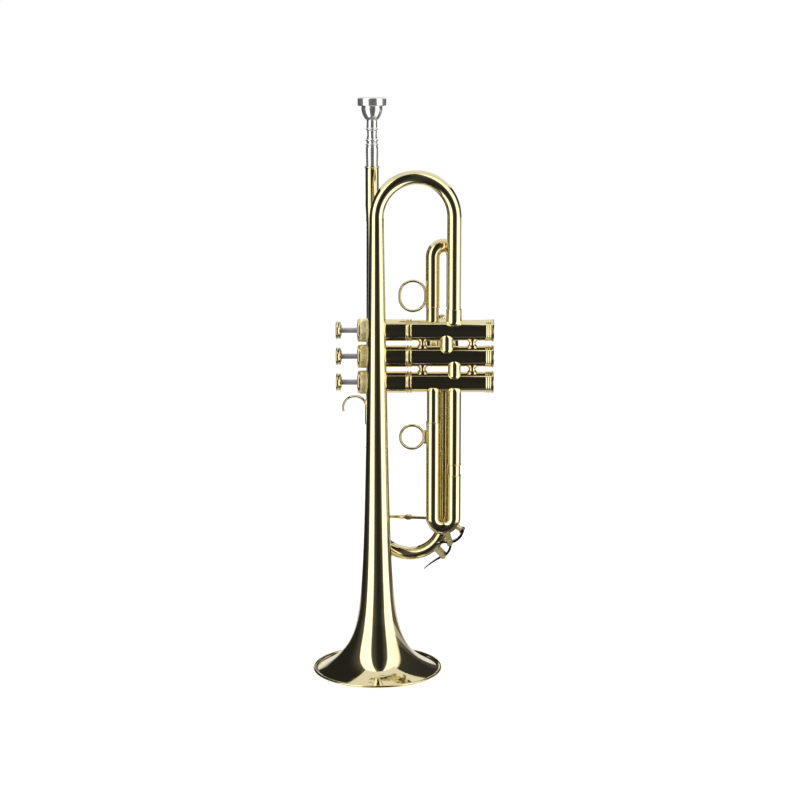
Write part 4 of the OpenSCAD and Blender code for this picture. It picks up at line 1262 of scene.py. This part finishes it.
    def build_overhead(self) -> None:
        """The softbox overhead, from just in front of the instrument back over it."""
        z = self.ceiling - self.overhead_drop
        corners = [(-0.2, -0.07, z), (0.33, -0.07, z), (0.42, 1.3, z), (-0.3, 1.3, z)]
        panel = mesh_object("overhead", corners, [(0, 1, 2, 3)])
        self.glow_levels(panel, [self.overhead_level] * len(corners))

    def add_lamp(self, name: str, place: Point, size: float, watts: float) -> None:
        """Adds a soft square lamp that faces the object.

        Args:
            name: The lamp's name.
            place: Its position.
            size: Its side, in metres.
            watts: Its power.
        """
        lamp = bpy.data.lights.new(name, "AREA")
        lamp.size = size
        lamp.energy = watts
        thing = bpy.data.objects.new(name, lamp)
        thing.location = place
        toward = Vector(self.centre) - Vector(place)
        thing.rotation_euler = toward.to_track_quat("-Z", "Y").to_euler()
        thing.visible_camera = False
        thing.visible_glossy = False
        bpy.context.scene.collection.objects.link(thing)

    def build_lamps(self) -> None:
        """Two soft lamps at the front and one overhead."""
        self.add_lamp("lamp_left", (-1.5, -1.3, 0.9), size=1.2, watts=9)
        self.add_lamp("lamp_right", (1.7, -0.9, 0.9), size=1.2, watts=7)
        self.add_lamp("lamp_top", (0.0, -0.2, 2.2), size=1.6, watts=14)

    def build(self) -> None:
        """Builds the whole studio."""
        self.build_world()
        self.build_floor()
        self.build_surround()
        self.build_overhead()
        self.build_lamps()


@dataclass
class Viewpoint:
    """The camera: level with the mouthpiece and tilted down on the instrument."""

    place: Point = (0.0216, -1.65, 0.545)
    target: Point = (0.0216, 0.0, 0.2612)
    lens: float = 80.45
    sensor: float = 36.0

    def build(self) -> None:
        """Makes the camera and sets it as the scene's own."""
        data = bpy.data.cameras.new("camera")
        data.lens = self.lens
        data.sensor_width = self.sensor
        camera = bpy.data.objects.new("camera", data)
        camera.location = self.place
        toward = Vector(self.target) - Vector(self.place)
        camera.rotation_euler = toward.to_track_quat("-Z", "Y").to_euler()
        bpy.context.scene.collection.objects.link(camera)
        bpy.context.scene.camera = camera


# ------------------------------------------------------------------ making


def main() -> None:
    """Builds the sub-assemblies in order, then the studio, centred on the CAD parts' box."""
    logging.basicConfig(level=logging.INFO, format="%(name)s: %(message)s")
    wardrobe = Wardrobe()
    block = ValveBlock()
    BellAssembly().build(block, wardrobe)
    LeadPipe().build(wardrobe)
    block.build(wardrobe)
    for number in (1, 2, 3):
        Valve(number).build(block, wardrobe)
    first_ring = FingerRing("first_ring_cast", "first_ring", Body.FIRST_SLIDE, (52.2, block.y() + 1.6),
                            height=356.5, wide=27, tall=31, gap=-1.3, foot=8)
    third_ring = FingerRing("third_ring_cast", "third_ring", Body.THIRD_SLIDE, (52.9, block.y() - 5.5),
                            height=223.0, wide=25, tall=25, gap=0.9, foot=7)
    Slide(("tuning_slide_tubes", "tuning_slide", "tuning_brace")).build(wardrobe)
    Slide(("first_slide_tubes", "first_slide", "first_ring"), first_ring).build(wardrobe)
    Slide(("second_slide_tubes", "second_slide")).build(wardrobe)
    Slide(("third_slide_tubes", "third_slide", "third_ring"), third_ring).build(wardrobe)
    WaterKey("tuning").build(wardrobe)
    WaterKey("third").build(wardrobe)
    low, high = CAD_BOX
    Studio(centre=tuple((low + high) / 2)).build()
    Viewpoint().build()
    bpy.context.scene.view_settings.view_transform = "Standard"


if __name__ == "__main__":
    main()
